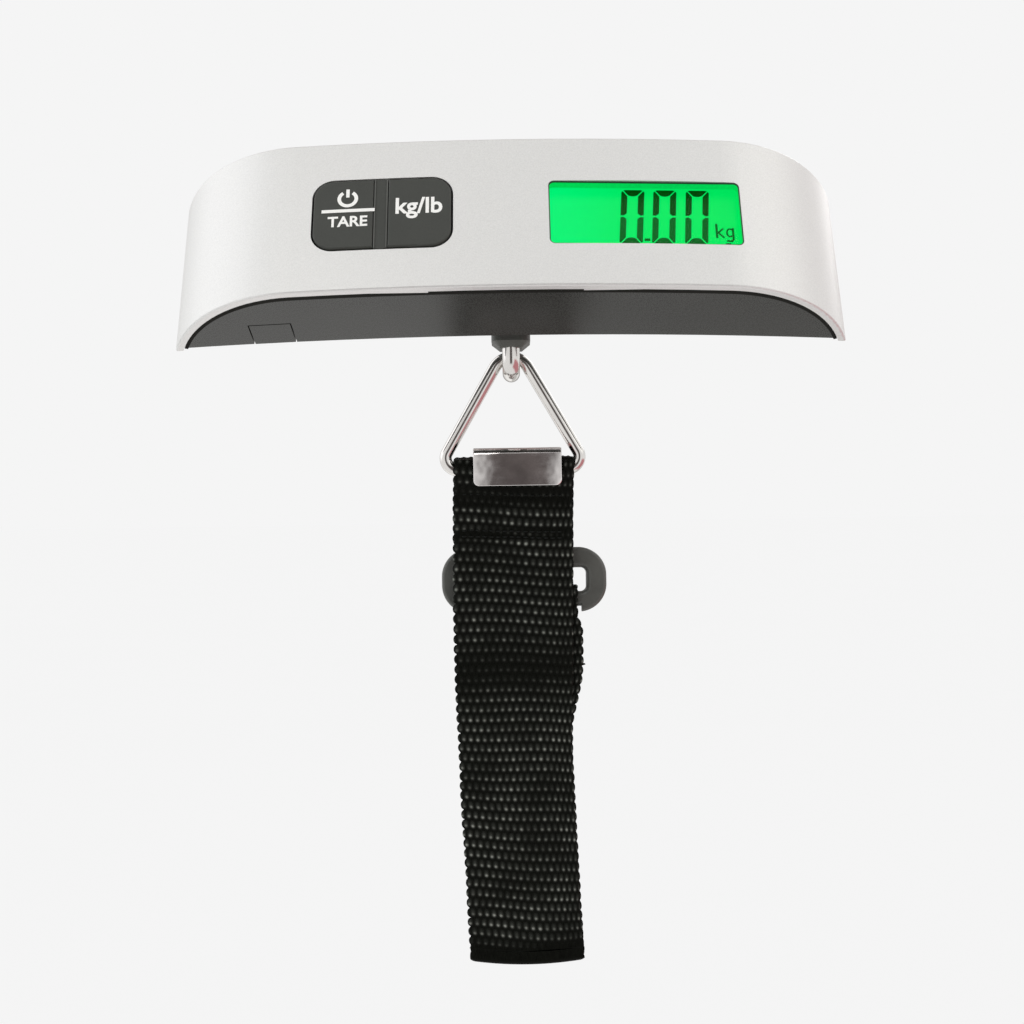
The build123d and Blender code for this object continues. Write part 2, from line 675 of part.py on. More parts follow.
def make_plunger(side):
    """A hard foot under a key, which presses the switch."""
    with BuildPart() as plunger:
        with BuildSketch(level(KEY_FLANGE_TOP - KEY_FLANGE_T - PLUNGER_FOOT_T - 0.02)):
            with Locations(SWITCH_PLACES[side > 0]):
                Circle(PLUNGER_FOOT_R)
        extrude(amount=PLUNGER_FOOT_T)
        with BuildSketch(level(KEY_FLANGE_TOP - KEY_FLANGE_T - PLUNGER_FOOT_T / 2)):
            with Locations(SWITCH_PLACES[side > 0]):
                Circle(KEY_POCKET_R - 0.04)
        extrude(amount=PLUNGER_FOOT_T / 2 + KEY_POCKET_D - 0.05)
    return plunger


for key_name, key_side in (("power", -1), ("unit", 1)):
    finish(make_key(key_side), key_name + "_key")
    finish(make_plunger(key_side), key_name + "_plunger")

with BuildPart() as key_web:
    with BuildSketch(level(WEB_TOP, x=PAD_X)):
        RectangleRounded(PAD_W + 4.6, PAD_D + 4.6, 2.0)
    extrude(amount=-WEB_T)
    with BuildSketch(level(WEB_TOP - WEB_T)):
        with Locations((DIVIDER_X, 0)):
            Rectangle(DIVIDER_W, PAD_D)
    extrude(amount=CROWN / 2)
    for side in (-1, 1):
        with BuildSketch(level(WEB_TOP - WEB_T)):
            key_outline(side, grow=KEY_GAP / 2)
        extrude(amount=CROWN / 2, mode=Mode.SUBTRACT)
    arched_to(0.1)
finish(key_web, "key_web")

# ---------------------------------------------------------------- load cell
CELL_X = (CELL_LEFT + CELL_RIGHT) / 2
CELL_MID_H = (CELL_BOTTOM + CELL_TOP) / 2
CELL_SCREW_R = 1.5
CELL_SCREW_HEAD_T = 1.4
CELL_SCREW_SEAT_R = 1.95
CELL_SLOT_H = 1.6        # of the slot that joins the bending zone's holes

with BuildPart() as load_cell:
    with BuildSketch(level(CELL_BOTTOM, x=CELL_X)):
        Rectangle(CELL_RIGHT - CELL_LEFT, CELL_D)
    extrude(amount=CELL_TOP - CELL_BOTTOM)
    with BuildSketch(section(0)):
        for hole_x in CELL_HOLES:
            with Locations((hole_x, CELL_MID_H)):
                Circle(CELL_HOLE_R)
        with Locations((sum(CELL_HOLES) / 2, CELL_MID_H)):
            Rectangle(CELL_HOLES[1] - CELL_HOLES[0], CELL_SLOT_H)
    extrude(amount=CELL_D, both=True, mode=Mode.SUBTRACT)
    with BuildSketch(level(CELL_BOTTOM)):
        Circle(STEM_R + RUNNING_PLAY)
        with Locations(*[(x, 0) for x in CELL_FIXING_X]):
            Circle(CELL_SCREW_R + 0.05)
    extrude(amount=CELL_TOP - CELL_BOTTOM, mode=Mode.SUBTRACT)
    for fixing_x in CELL_FIXING_X:
        with BuildSketch(level(CELL_TOP - CELL_SCREW_HEAD_T, x=fixing_x)):
            Circle(CELL_SCREW_SEAT_R)
        extrude(amount=CELL_SCREW_HEAD_T, mode=Mode.SUBTRACT)
finish(load_cell, "load_cell")

with BuildPart() as load_cell_bracket:
    with BuildSketch(level(PAD_H + 0.02, x=sum(CELL_FIXING_X) / 2)):
        Rectangle(9.0, CELL_D)
        with Locations((-2.0, 0), (2.0, 0)):
            Circle(CELL_SCREW_R + 0.05, mode=Mode.SUBTRACT)
    extrude(amount=CELL_BOTTOM - PAD_H - 0.04)
finish(load_cell_bracket, "load_cell_bracket")

with BuildPart() as load_cell_screws:
    for fixing_x in CELL_FIXING_X:
        with BuildSketch(level(CELL_TOP - CELL_SCREW_HEAD_T + 0.02, x=fixing_x)):
            Circle(CELL_SCREW_SEAT_R - 0.05)
        extrude(amount=CELL_SCREW_HEAD_T - 0.2)
        with BuildSketch(level(CELL_TOP - CELL_SCREW_HEAD_T / 2, x=fixing_x)):
            Circle(CELL_SCREW_R)
        extrude(amount=-(CELL_TOP - CELL_SCREW_HEAD_T / 2 - PAD_H - 0.04))
        with BuildSketch(level(CELL_TOP, x=fixing_x)):
            RegularPolygon(0.9, 6)
        extrude(amount=-1.0, mode=Mode.SUBTRACT)
finish(load_cell_screws, "load_cell_screws")

GAUGE_T = 0.3
with BuildPart() as strain_gauges:
    for hole_x in CELL_HOLES:
        with BuildSketch(level(CELL_TOP + 0.01, x=hole_x)):
            Rectangle(4.0, 6.0)
        extrude(amount=GAUGE_T)
        with BuildSketch(level(CELL_BOTTOM - 0.01, x=hole_x)):
            Rectangle(4.0, 6.0)
        extrude(amount=-GAUGE_T)
finish(strain_gauges, "strain_gauges")


def make_leads(starts, ends, middles, bend):
    """Parallel insulated leads, each a run of straight stretches with round bends."""
    with BuildPart() as leads:
        for start, end in zip(starts, ends):
            points = [place(*start)]
            for share, (x, p, h) in middles:
                fan = (end[1] - ends[0][1]) * share
                points.append(place(x, p + fan, h))
            points.append(place(*end))
            with BuildLine() as route:
                FilletPolyline(*points, radius=bend)
            with BuildSketch(Plane(origin=route.line @ 0, z_dir=route.line % 0)):
                Circle(WIRE_R)
            sweep(path=route.line)
    return leads


LEAD_PITCH = 1.1
sensor_ends = [(-18.0 - 0.3 * n, 6.6 + LEAD_PITCH * n, BOARD_TOP - BOARD_T - 0.4) for n in range(4)]
sensor_starts = [(15.0, 6.6 + LEAD_PITCH * n, 10.2) for n in range(4)]
sensor_route = ((1.0, (8.0, 6.6, 7.6)), (1.0, (-10.0, 6.6, 8.4)), (1.0, (-17.0, 6.6, 9.6)))
finish(make_leads(sensor_starts, sensor_ends, sensor_route, 1.0), "sensor_wires")

battery_starts = [(-35.6, -1.6 + 3.2 * n, 10.0) for n in range(2)]
battery_ends = [(-27.0, -2.6 + 5.2 * n, BOARD_TOP - BOARD_T - 0.4) for n in range(2)]
battery_route = ((0.8, (-33.0, -2.0, 9.0)), (1.0, (-28.0, -2.6, 9.4)))
finish(make_leads(battery_starts, battery_ends, battery_route, 1.0), "battery_wires")

# ---------------------------------------------------------------- hook
with BuildPart() as stem_bush:
    with BuildSketch(level(UNDERSIDE_RISE - 0.4)):
        Circle(BUSH_OUTER_R)
    extrude(amount=PAD_H + 0.02 - UNDERSIDE_RISE + 0.4)
    with BuildSketch(level(PAD_H + 0.02)):
        Circle(BUSH_FLANGE_R)
        Rectangle(2 * BUSH_FLANGE_R, CELL_D + 1.0, mode=Mode.INTERSECT)
    extrude(amount=0.7)
    with BuildSketch(level(0)):
        Circle(BUSH_BORE_R)
    extrude(amount=CELL_BOTTOM + 1, mode=Mode.SUBTRACT)
finish(stem_bush, "stem_bush")

FORK_TOP = CELL_BOTTOM - 0.15
SLOT_TOP = PIN_H + LINK_HALF + LINK_WIRE_R + 0.45
with BuildPart() as hook_stem:
    with BuildSketch(slice_at(0)):
        with Locations((0, PIN_H)):
            Circle(FORK_R)
        with Locations((0, (PIN_H + FORK_TOP) / 2)):
            Rectangle(2 * FORK_R, FORK_TOP - PIN_H)
    extrude(amount=FORK_R, both=True)
    with BuildSketch(level(PIN_H - FORK_R - 1)):
        Circle(FORK_R)
    extrude(amount=CROWN, mode=Mode.INTERSECT)
    with BuildSketch(level(FORK_TOP)):
        Circle(STEM_R)
    extrude(amount=CELL_TOP + WASHER_T + NUT_T + 0.5 - FORK_TOP)
    with BuildSketch(slice_at(0)):
        with Locations((0, (PIN_H + SLOT_TOP - FORK_R - 1) / 2)):
            Rectangle(3 * FORK_R, SLOT_TOP - PIN_H + FORK_R + 1)
    extrude(amount=FORK_SLOT / 2, both=True, mode=Mode.SUBTRACT)
    with BuildSketch(slice_at(0)):
        with Locations((0, PIN_H)):
            Circle(PIN_R + 0.02)
    extrude(amount=2 * FORK_R, both=True, mode=Mode.SUBTRACT)
finish(hook_stem, "hook_stem")

with BuildPart() as stem_washer:
    with BuildSketch(level(CELL_TOP + 0.02)):
        Circle(WASHER_R)
        Circle(STEM_R + 0.05, mode=Mode.SUBTRACT)
    extrude(amount=WASHER_T)
finish(stem_washer, "stem_washer")

with BuildPart() as stem_nut:
    with BuildSketch(level(CELL_TOP + WASHER_T + 0.04)):
        RegularPolygon(NUT_FLATS / 2, 6, major_radius=False)
        Circle(STEM_R + 0.02, mode=Mode.SUBTRACT)
    extrude(amount=NUT_T)
finish(stem_nut, "stem_nut")

PIN_LENGTH = 7.6
with BuildPart() as fork_pin:
    with BuildSketch(slice_at(0)):
        with Locations((0, PIN_H)):
            Circle(PIN_R)
    extrude(amount=PIN_LENGTH / 2, both=True)
finish(fork_pin, "fork_pin")


def link_bend(centre_z, low):
    """Half a turn of the link's wire, about the X axis through a bend's centre."""
    with BuildSketch(Plane.XY.offset(centre_z)) as wire:
        with Locations((0, HANG_Y + LINK_HALF)):
            Circle(LINK_WIRE_R)
    turn_axis = Axis((0, HANG_Y, centre_z), (-1 if low else 1, 0, 0))
    revolve(wire.sketch, axis=turn_axis, revolution_arc=180)


with BuildPart() as steel_link:
    with BuildSketch(Plane.XY.offset(LINK_LOW_Z)):
        with Locations((0, HANG_Y - LINK_HALF), (0, HANG_Y + LINK_HALF)):
            Circle(LINK_WIRE_R)
    extrude(amount=LINK_SPAN)
    link_bend(PIN.Z, low=False)
    link_bend(LINK_LOW_Z, low=True)
finish(steel_link, "steel_link")

COLLAR_H = COLLAR_END_DROP - COLLAR_TOP_DROP
with BuildPart() as hook_collar:
    with BuildSketch(Plane.XY.offset(PIN.Z - COLLAR_END_DROP)):
        with Locations((0, HANG_Y)):
            RectangleRounded(COLLAR_X, COLLAR_Y, 2.2)
    extrude(amount=COLLAR_H)
    chamfer(hook_collar.faces().sort_by(Axis.Z)[0].edges(), COLLAR_CHAMFER * 0.8, COLLAR_CHAMFER)
    fillet(hook_collar.faces().sort_by(Axis.Z)[-1].edges(), 0.6)
    with BuildSketch(Plane.XY.offset(LINK_LOW_Z)):
        with Locations((0, HANG_Y - LINK_HALF), (0, HANG_Y + LINK_HALF)):
            Circle(LINK_WIRE_R + 0.02)
    extrude(amount=LINK_SPAN, mode=Mode.SUBTRACT)
finish(hook_collar, "hook_collar")

# ---------------------------------------------------------------- ring
RING_APEX = Vector(0, HANG_Y, BAR_Z + RING_SIDE * math.sqrt(3) / 2)
RING_LEFT = Vector(-RING_SIDE / 2, HANG_Y, BAR_Z)
RING_RIGHT = Vector(RING_SIDE / 2, HANG_Y, BAR_Z)


with BuildPart() as triangle_ring:
    with BuildLine() as route:
        FilletPolyline(
            RING_RIGHT,
            RING_APEX,
            RING_LEFT,
            radius=[RING_CORNER_R, RING_APEX_R, RING_CORNER_R],
            close=True,
        )
    with BuildSketch(Plane(origin=route.line @ 0, z_dir=route.line % 0)):
        Circle(RING_WIRE_R)
    sweep(path=route.line)
finish(triangle_ring, "triangle_ring")

# ---------------------------------------------------------------- strap
def strap_section(x=0.0):
    return Plane.YZ.offset(x)


def hem_outline(loop_y, loop_z, loop_r, near, far, merge, length):
    """Section of webbing that wraps a bar and lies double below it, as a loop and a tapered neck."""
    with Locations((loop_y, loop_z)):
        Circle(loop_r)
    neck = [
        (loop_y - loop_r * 0.94, loop_z - loop_r * 0.34),
        (loop_y + loop_r * 0.94, loop_z - loop_r * 0.34),
        (far, loop_z - merge),
        (far, loop_z - length),
        (near, loop_z - length),
        (near, loop_z - merge),
    ]
    with BuildLine() as outline:
        Polyline(*neck, close=True)
    make_face(outline.edges())


def neck_gap(loop_y, loop_z, bore_r, near, far, merge):
    """Space inside the neck, between the bar's bore and the place where the layers meet."""
    meet = (near + far) / 2
    with Locations((loop_y, loop_z)):
        Circle(bore_r, mode=Mode.SUBTRACT)
    gap = [
        (loop_y - bore_r * 0.94, loop_z - bore_r * 0.34),
        (loop_y + bore_r * 0.94, loop_z - bore_r * 0.34),
        (meet, loop_z - merge * 0.9),
    ]
    with BuildLine() as outline:
        Polyline(*gap, close=True)
    make_face(outline.edges(), mode=Mode.SUBTRACT)


STRAP_LOOP_R = RING_WIRE_R + BAR_PLAY + STRAP_T
STRAP_BORE_R = RING_WIRE_R + BAR_PLAY
STRAIGHT_BAR = RING_SIDE / 2 - RING_CORNER_R * math.sqrt(3)

with BuildPart() as strap_front:
    with BuildSketch(strap_section(STRAP_X)):
        hem_outline(
            HANG_Y, BAR_Z, STRAP_LOOP_R, HANG_Y - STRAP_T, HANG_Y + STRAP_T, HEM_MERGE, TOP_HEM
        )
        with Locations((HANG_Y - STRAP_T / 2, (BAR_Z - TOP_HEM + 1 + FOLD_Z) / 2)):
            Rectangle(STRAP_T, BAR_Z - TOP_HEM + 1 - FOLD_Z)
        with Locations((FOLD_Y, FOLD_Z)):
            Circle(FOLD_OUTER_R)
            Circle(FOLD_GAP / 2, mode=Mode.SUBTRACT)
        with Locations((HANG_Y + STRAP_T, FOLD_Z + FOLD_OUTER_R)):
            Rectangle(2 * STRAP_T, 2 * FOLD_OUTER_R, mode=Mode.SUBTRACT)
        neck_gap(HANG_Y, BAR_Z, STRAP_BORE_R, HANG_Y - STRAP_T, HANG_Y + STRAP_T, HEM_MERGE)
    extrude(amount=WEB_STRAP_W / 2, both=True)
    # the ends of the loop are cut away round the ring's corners, so that the strap can swing
    for side in (-1, 1):
        with BuildSketch(strap_section(side * (STRAIGHT_BAR + 0.2))):
            with Locations((HANG_Y, BAR_Z)):
                Circle(STRAP_LOOP_R + 0.4)
        extrude(amount=side * WEB_STRAP_W, mode=Mode.SUBTRACT)
finish(strap_front, "strap_front")

TAIL_NEAR = TAIL_Y
TAIL_FAR = TAIL_Y + 2 * STRAP_T
TAIL_MERGE = 7.5
with BuildPart() as strap_back:
    with BuildSketch(strap_section(TAIL_X)):
        hem_outline(
            BUCKLE_Y,
            BUCKLE_BAR_Z,
            LOOP_OUTER_R,
            TAIL_NEAR,
            TAIL_FAR,
            TAIL_MERGE,
            BUCKLE_BAR_Z - TAIL_END_Z,
        )
        with Locations((TAIL_Y + STRAP_T / 2, (TAIL_END_Z + 1 + FOLD_Z + TAIL_START) / 2)):
            Rectangle(STRAP_T, TAIL_END_Z + 1 - FOLD_Z - TAIL_START)
        neck_gap(BUCKLE_Y, BUCKLE_BAR_Z, LOOP_BORE_R, TAIL_NEAR, TAIL_FAR, TAIL_MERGE)
    extrude(amount=WEB_STRAP_W / 2, both=True)
finish(strap_back, "strap_back")

# ---------------------------------------------------------------- clip and buckle
CLIP_BEND_R = 1.5
CLIP_HOOK_BEND_R = 2.1


def on_front_lip(edge):
    """Whether an edge is a corner of the clip's front leg, through the sheet's thickness."""
    centre = edge.center()
    return centre.Y < HANG_Y - CLIP_HALF + CLIP_T and abs(centre.Z - BAR_Z + CLIP_LIP) < 0.01


def on_front_rim(edge):
    """Whether an edge of the front leg's outer face lies below the clip's top bend."""
    return edge.center().Z < BAR_Z + CLIP_RISE - CLIP_BEND_R - CLIP_T


with BuildPart() as strap_clip:
    with BuildSketch(strap_section(CLIP_X)):
        with BuildLine() as sheet:
            FilletPolyline(
                (HANG_Y - CLIP_HALF, BAR_Z - CLIP_LIP),
                (HANG_Y - CLIP_HALF, BAR_Z + CLIP_RISE),
                (HANG_Y + CLIP_HALF, BAR_Z + CLIP_RISE),
                (HANG_Y + CLIP_HALF, BAR_Z - CLIP_HOOK_DROP),
                (HANG_Y + CLIP_HOOK_REACH, BAR_Z - CLIP_HOOK_DROP),
                (HANG_Y + CLIP_HOOK_REACH, BAR_Z + CLIP_HOOK_TIP),
                radius=[CLIP_BEND_R, CLIP_BEND_R, CLIP_HOOK_BEND_R, CLIP_HOOK_BEND_R],
            )
        trace(sheet.edges(), line_width=CLIP_T)
    extrude(amount=CLIP_W / 2, both=True)
    fillet(strap_clip.edges().filter_by(Axis.Y).filter_by(on_front_lip), CLIP_CORNER_R)
    front_leg = strap_clip.faces().sort_by(Axis.Y)[0]
    fillet(front_leg.edges().filter_by(on_front_rim), CLIP_EDGE_ROUND)
finish(strap_clip, "strap_clip")

NOTCH_H = BUCKLE_WALL - BAR_H
BAR_ROUND = 1.2
BUCKLE_ROUND = 0.7


def on_wrapped_bar(edge):
    """Whether an edge runs along the bar that the tail wraps."""
    return abs(abs(edge.center().Z - BUCKLE_BAR_Z) - BAR_H / 2) < 0.01


def on_buckle_face(edge):
    """Whether an edge lies in the buckle's front or back face, away from the wrapped bar."""
    centre = edge.center()
    in_face = abs(abs(centre.Y - BUCKLE_Y) - BUCKLE_T / 2) < 0.01
    return in_face and edge.geom_type == GeomType.CIRCLE and centre.Z > BUCKLE_BAR_Z + BAR_H / 2


with BuildPart() as buckle:
    with BuildSketch(Plane.XZ.offset(-BUCKLE_Y)):
        with Locations((BUCKLE_X, BUCKLE_Z)):
            RectangleRounded(BUCKLE_W, BUCKLE_H, BUCKLE_R)
            RectangleRounded(SLOT_W, SLOT_H, 1.2, mode=Mode.SUBTRACT)
        with Locations((TAIL_X, BUCKLE_Z - BUCKLE_H / 2)):
            Rectangle(WEB_STRAP_W + 0.8, 2 * NOTCH_H, mode=Mode.SUBTRACT)
    extrude(amount=BUCKLE_T / 2, both=True)
    bar_edges = buckle.edges().filter_by(Axis.X).filter_by(on_wrapped_bar)
    fillet(bar_edges, BAR_ROUND)
    fillet(buckle.edges().filter_by(on_buckle_face), BUCKLE_ROUND)
finish(buckle, "buckle")
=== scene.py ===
import json
import math
import random

import bmesh
import bpy
from mathutils import Matrix, Vector


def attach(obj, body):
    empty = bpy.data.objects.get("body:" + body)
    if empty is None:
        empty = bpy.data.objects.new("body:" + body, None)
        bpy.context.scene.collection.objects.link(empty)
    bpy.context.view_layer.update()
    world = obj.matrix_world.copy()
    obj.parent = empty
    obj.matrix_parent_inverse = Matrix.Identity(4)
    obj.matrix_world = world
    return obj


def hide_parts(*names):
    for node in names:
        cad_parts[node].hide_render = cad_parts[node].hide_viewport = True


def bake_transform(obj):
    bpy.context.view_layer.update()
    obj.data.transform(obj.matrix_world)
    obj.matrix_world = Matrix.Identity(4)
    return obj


MM = 0.001
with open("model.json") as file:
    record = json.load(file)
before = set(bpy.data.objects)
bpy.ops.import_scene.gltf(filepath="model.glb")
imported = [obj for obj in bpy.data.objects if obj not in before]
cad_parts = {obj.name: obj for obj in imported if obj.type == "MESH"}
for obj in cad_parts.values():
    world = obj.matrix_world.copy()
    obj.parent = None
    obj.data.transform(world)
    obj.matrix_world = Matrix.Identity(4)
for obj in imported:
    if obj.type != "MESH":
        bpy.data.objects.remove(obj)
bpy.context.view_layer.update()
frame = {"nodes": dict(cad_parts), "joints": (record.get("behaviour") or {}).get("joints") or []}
nodes = frame["nodes"]
dice = random.Random(11)

# ------------------------ the grip's own directions
LEAN = math.radians(27.3)
SIN = math.sin(LEAN)
COS = math.cos(LEAN)
GRIP_MID_H = 12.45
CLIP_MID = 0.0015        # of the strap's clip, in metres along X
ALONG = Vector((1, 0, 0))
BACK = Vector((0, SIN, COS))
UP = Vector((0, -COS, SIN))
PIVOTS = {j["name"]: Vector(j["pos_m"]) / MM for j in frame["joints"] if "pos_m" in j}
CROWN = 21.7             # height of the cover's arch above its feet
CROWN_R = 657.0
SHOULDER_R = 28.8
HALF_LENGTH = 69.25
KEY_PROUD = 0.3          # of the keys above the cover
BASE_HALF = 17.65        # of the base's front and back faces from the grip's middle
SEAM_DROP = 1.75         # of the base's edge inside the cover's arch
FOOT_LIFT = 0.25         # of the base's tips above the cover's feet


def place(x, p, h):
    """Point of the grip in metres: x along it, p to its back edge, h to its display side."""
    return (ALONG * x + BACK * p + UP * (h - GRIP_MID_H)) * MM


def crown_height(x):
    """Height of the cover's crown at x."""
    return CROWN - CROWN_R + math.sqrt(CROWN_R ** 2 - x ** 2)


# ------------------------ node helpers
def new_material(name):
    """New material with its tree and its shader."""
    mat = bpy.data.materials.new(name)
    mat.use_nodes = True
    return mat, *shader(mat)


def shader(mat):
    """A material's node tree and its shader."""
    return mat.node_tree, mat.node_tree.nodes["Principled BSDF"]


def put(made, **values):
    """Sets a node's inputs; an underscore stands for a space in an input's name."""
    for name, value in values.items():
        made.inputs[name.replace("_", " ")].default_value = value
    return made


def node(tree, kind, **values):
    """New node with some of its inputs set."""
    return put(tree.nodes.new(kind), **values)


def link(tree, source, target):
    """Joins an output to an input."""
    tree.links.new(source, target)


def coords(tree, scale=(1, 1, 1)):
    """Place on the object in metres, stretched by a scale."""
    where = node(tree, "ShaderNodeTexCoord")
    mapping = node(tree, "ShaderNodeMapping", Scale=scale)
    link(tree, where.outputs["Object"], mapping.inputs["Vector"])
    return mapping.outputs["Vector"]


def parts_of(tree, vector):
    """The X, Y and Z sockets of a vector."""
    split = node(tree, "ShaderNodeSeparateXYZ")
    link(tree, vector, split.inputs["Vector"])
    return split.outputs


def noise(tree, vector, scale, detail=2.0, rough=0.5):
    """Soft noise with so many grains per metre."""
    made = node(tree, "ShaderNodeTexNoise", Scale=scale, Detail=detail, Roughness=rough)
    link(tree, vector, made.inputs["Vector"])
    return made.outputs["Fac"]


def span(tree, source, low, high, from_low=0.3, from_high=0.7):
    """Maps one range of a socket onto another, and holds it there."""
    made = node(tree, "ShaderNodeMapRange", From_Min=from_low, From_Max=from_high)
    put(made, To_Min=low, To_Max=high)
    link(tree, source, made.inputs["Value"])
    return made.outputs["Result"]


def ramp(tree, source, stops):
    """Colour by a socket, from stops of place and colour."""
    made = node(tree, "ShaderNodeValToRGB")
    band = made.color_ramp
    while len(band.elements) < len(stops):
        band.elements.new(0.5)
    for element, (at, colour) in zip(band.elements, stops):
        element.position = at
        element.color = (*colour, 1)
    link(tree, source, made.inputs["Fac"])
    return made.outputs["Color"]


def mottled(tree, source, colour, dark, light):
    """A colour that varies between two shares of itself."""
    low, high = (tuple(min(1.0, c * share) for c in colour) for share in (dark, light))
    return ramp(tree, source, [(0.3, low), (0.7, high)])


def bump(tree, bsdf, height, distance, strength=0.5):
    """Relief of a distance in metres on a shader."""
    made = node(tree, "ShaderNodeBump", Distance=distance, Strength=strength)
    link(tree, height, made.inputs["Height"])
    link(tree, made.outputs["Normal"], bsdf.inputs["Normal"])


def math_node(tree, operation, a, b=0.0):
    """Result of an operation on sockets or numbers."""
    made = node(tree, "ShaderNodeMath")
    made.operation = operation
    for slot, value in zip(made.inputs, (a, b)):
        if isinstance(value, (int, float)):
            slot.default_value = value
        else:
            link(tree, value, slot)
    return made.outputs["Value"]


def times(tree, *values):
    """Product of sockets and numbers."""
    made = values[0]
    for value in values[1:]:
        made = math_node(tree, "MULTIPLY", made, value)
    return made


def paint(tree, under, factor, colour):
    """Lays a colour over another by a factor."""
    mix = node(tree, "ShaderNodeMixRGB", Color2=(*colour, 1))
    link(tree, factor, mix.inputs["Fac"])
    if isinstance(under, tuple):
        mix.inputs["Color1"].default_value = (*under, 1)
    else:
        link(tree, under, mix.inputs["Color1"])
    return mix.outputs["Color"]


# ------------------------ materials
def moulded(name, colour, rough, grain=0.25, depth=0.012, spread=0.18, mottle=9.0):
    """Moulded plastic or rubber: spark-eroded grain of a size in mm, with slow colour variation."""
    mat, tree, bsdf = new_material(name)
    at = coords(tree)
    slow = noise(tree, at, 1000 / mottle, 4.0, 0.6)
    link(tree, mottled(tree, slow, colour, 1 - spread, 1 + spread), bsdf.inputs["Base Color"])
    fine = noise(tree, at, 1000 / grain, 2.0, 0.55)
    link(tree, span(tree, fine, rough - 0.06, rough + 0.08), bsdf.inputs["Roughness"])
    bump(tree, bsdf, fine, depth * MM, 0.6)
    return mat


def metal(name, colour, rough, grain=(1, 1, 1), scratch=0.004, spread=0.06, scale=1400):
    """Metal with fine drawn or polishing marks that run along the axis with the smallest scale."""
    mat, tree, bsdf = new_material(name)
    put(bsdf, Metallic=1.0)
    at = coords(tree, grain)
    marks = noise(tree, at, scale, 3.0, 0.6)
    slow = noise(tree, coords(tree), 160, 3.0, 0.55)
    link(tree, mottled(tree, slow, colour, 1 - spread, 1 + spread), bsdf.inputs["Base Color"])
    link(tree, span(tree, marks, max(0.02, rough - 0.03), rough + 0.05), bsdf.inputs["Roughness"])
    bump(tree, bsdf, marks, scratch * MM, 0.35)
    return mat


def bowed_plate():
    """Plated clip whose pressed face bows outward a little, so its ends mirror the room's sides."""
    mat = metal("clip_plate", (0.74, 0.71, 0.70), 0.12, (0.25, 1, 1), 0.0012, 0.26, 700)
    tree, bsdf = shader(mat)
    off = math_node(tree, "SUBTRACT", parts_of(tree, coords(tree))["X"], CLIP_MID)
    bow = times(tree, math_node(tree, "POWER", off, 2), -8.0)
    dents = times(tree, noise(tree, coords(tree), 190), 0.00011)
    bump(tree, bsdf, math_node(tree, "ADD", bow, dents), 1.0, 1.0)
    return mat


def silver_paint():
    """Satin silver paint: metal flakes under clear lacquer with a faint orange peel."""
    mat, tree, bsdf = new_material("silver_paint")
    at = coords(tree)
    flakes = node(tree, "ShaderNodeTexVoronoi", Scale=6500)
    link(tree, at, flakes.inputs["Vector"])
    dust = noise(tree, at, 2600, 3.0, 0.6)
    peel = noise(tree, at, 700)
    glint = times(tree, math_node(tree, "ADD", flakes.outputs["Color"], dust), 0.5)
    stops = [(0.2, (0.67, 0.67, 0.66)), (0.8, (0.78, 0.78, 0.77))]
    link(tree, ramp(tree, glint, stops), bsdf.inputs["Base Color"])
    link(tree, span(tree, glint, 0.36, 0.44, 0.2, 0.8), bsdf.inputs["Roughness"])
    put(bsdf, Metallic=0.40, Coat_Weight=0.18, Coat_Roughness=0.3)
    skin = math_node(tree, "ADD", peel, times(tree, dust, 0.35))
    bump(tree, bsdf, skin, 0.006 * MM, 0.5)
    return mat


def clear_lens():
    """Clear moulded acrylic with the faintest polish haze."""
    mat, tree, bsdf = new_material("clear_lens")
    haze = noise(tree, coords(tree), 900, 3.0, 0.6)
    put(bsdf, Base_Color=(0.93, 1.0, 0.95, 1), Transmission_Weight=1.0, IOR=1.1)
    link(tree, span(tree, haze, 0.0, 0.03), bsdf.inputs["Roughness"])
    return mat


def lcd_glow():
    """Back-lit panel: brighter towards its lamps at the left, with fine rows and slow clouds."""
    mat, tree, bsdf = new_material("lcd_glow")
    at = coords(tree)
    sweep = span(tree, parts_of(tree, at)["X"], 0.0, 1.0, 0.008, 0.047)
    cloud = noise(tree, at, 130)
    rows = noise(tree, coords(tree, (1, 14, 14)), 420, 1.0)
    mixed = math_node(tree, "ADD", sweep, times(tree, cloud, 0.16))
    mixed = math_node(tree, "ADD", mixed, times(tree, rows, 0.05))
    stops = [(0.05, (0.0, 0.85, 0.19)), (0.55, (0.0, 0.75, 0.12)), (1.0, (0.0, 0.74, 0.11))]
    glow = ramp(tree, mixed, stops)
    dull = ramp(tree, mixed, [(0.05, (0.0, 0.10, 0.03)), (1.0, (0.0, 0.08, 0.02))])
    link(tree, dull, bsdf.inputs["Base Color"])
    link(tree, glow, bsdf.inputs["Emission Color"])
    put(bsdf, Emission_Strength=1.0, Roughness=0.35, Specular_IOR_Level=0.05)
    return mat


def ink(name, colour, glow, spread=0.15):
    """A printed or liquid-crystal mark: nearly flat, with the faint mottle of its film."""
    mat, tree, bsdf = new_material(name)
    film = noise(tree, coords(tree), 1800, 3.0, 0.6)
    tone = mottled(tree, film, colour, 1 - spread, 1 + spread)
    link(tree, tone, bsdf.inputs["Base Color"])
    # glow gives the mark light of its own colour: the back-light on the display's marks, painted
    # light on the key print and the lens walls
    if glow:
        link(tree, tone, bsdf.inputs["Emission Color"])
        put(bsdf, Emission_Strength=glow)
    put(bsdf, Roughness=0.55, Specular_IOR_Level=0.1)
    return mat


def float_glow(tree, du, ds, half_u, half_s, lift):
    """Soft oval of light on a float, lift up the row from its middle."""
    far_u = math_node(tree, "POWER", math_node(tree, "DIVIDE", du, half_u), 2)
    above = math_node(tree, "SUBTRACT", ds, lift)
    far_s = math_node(tree, "POWER", math_node(tree, "DIVIDE", above, half_s), 2)
    return math_node(tree, "EXPONENT", times(tree, math_node(tree, "ADD", far_u, far_s), -1))


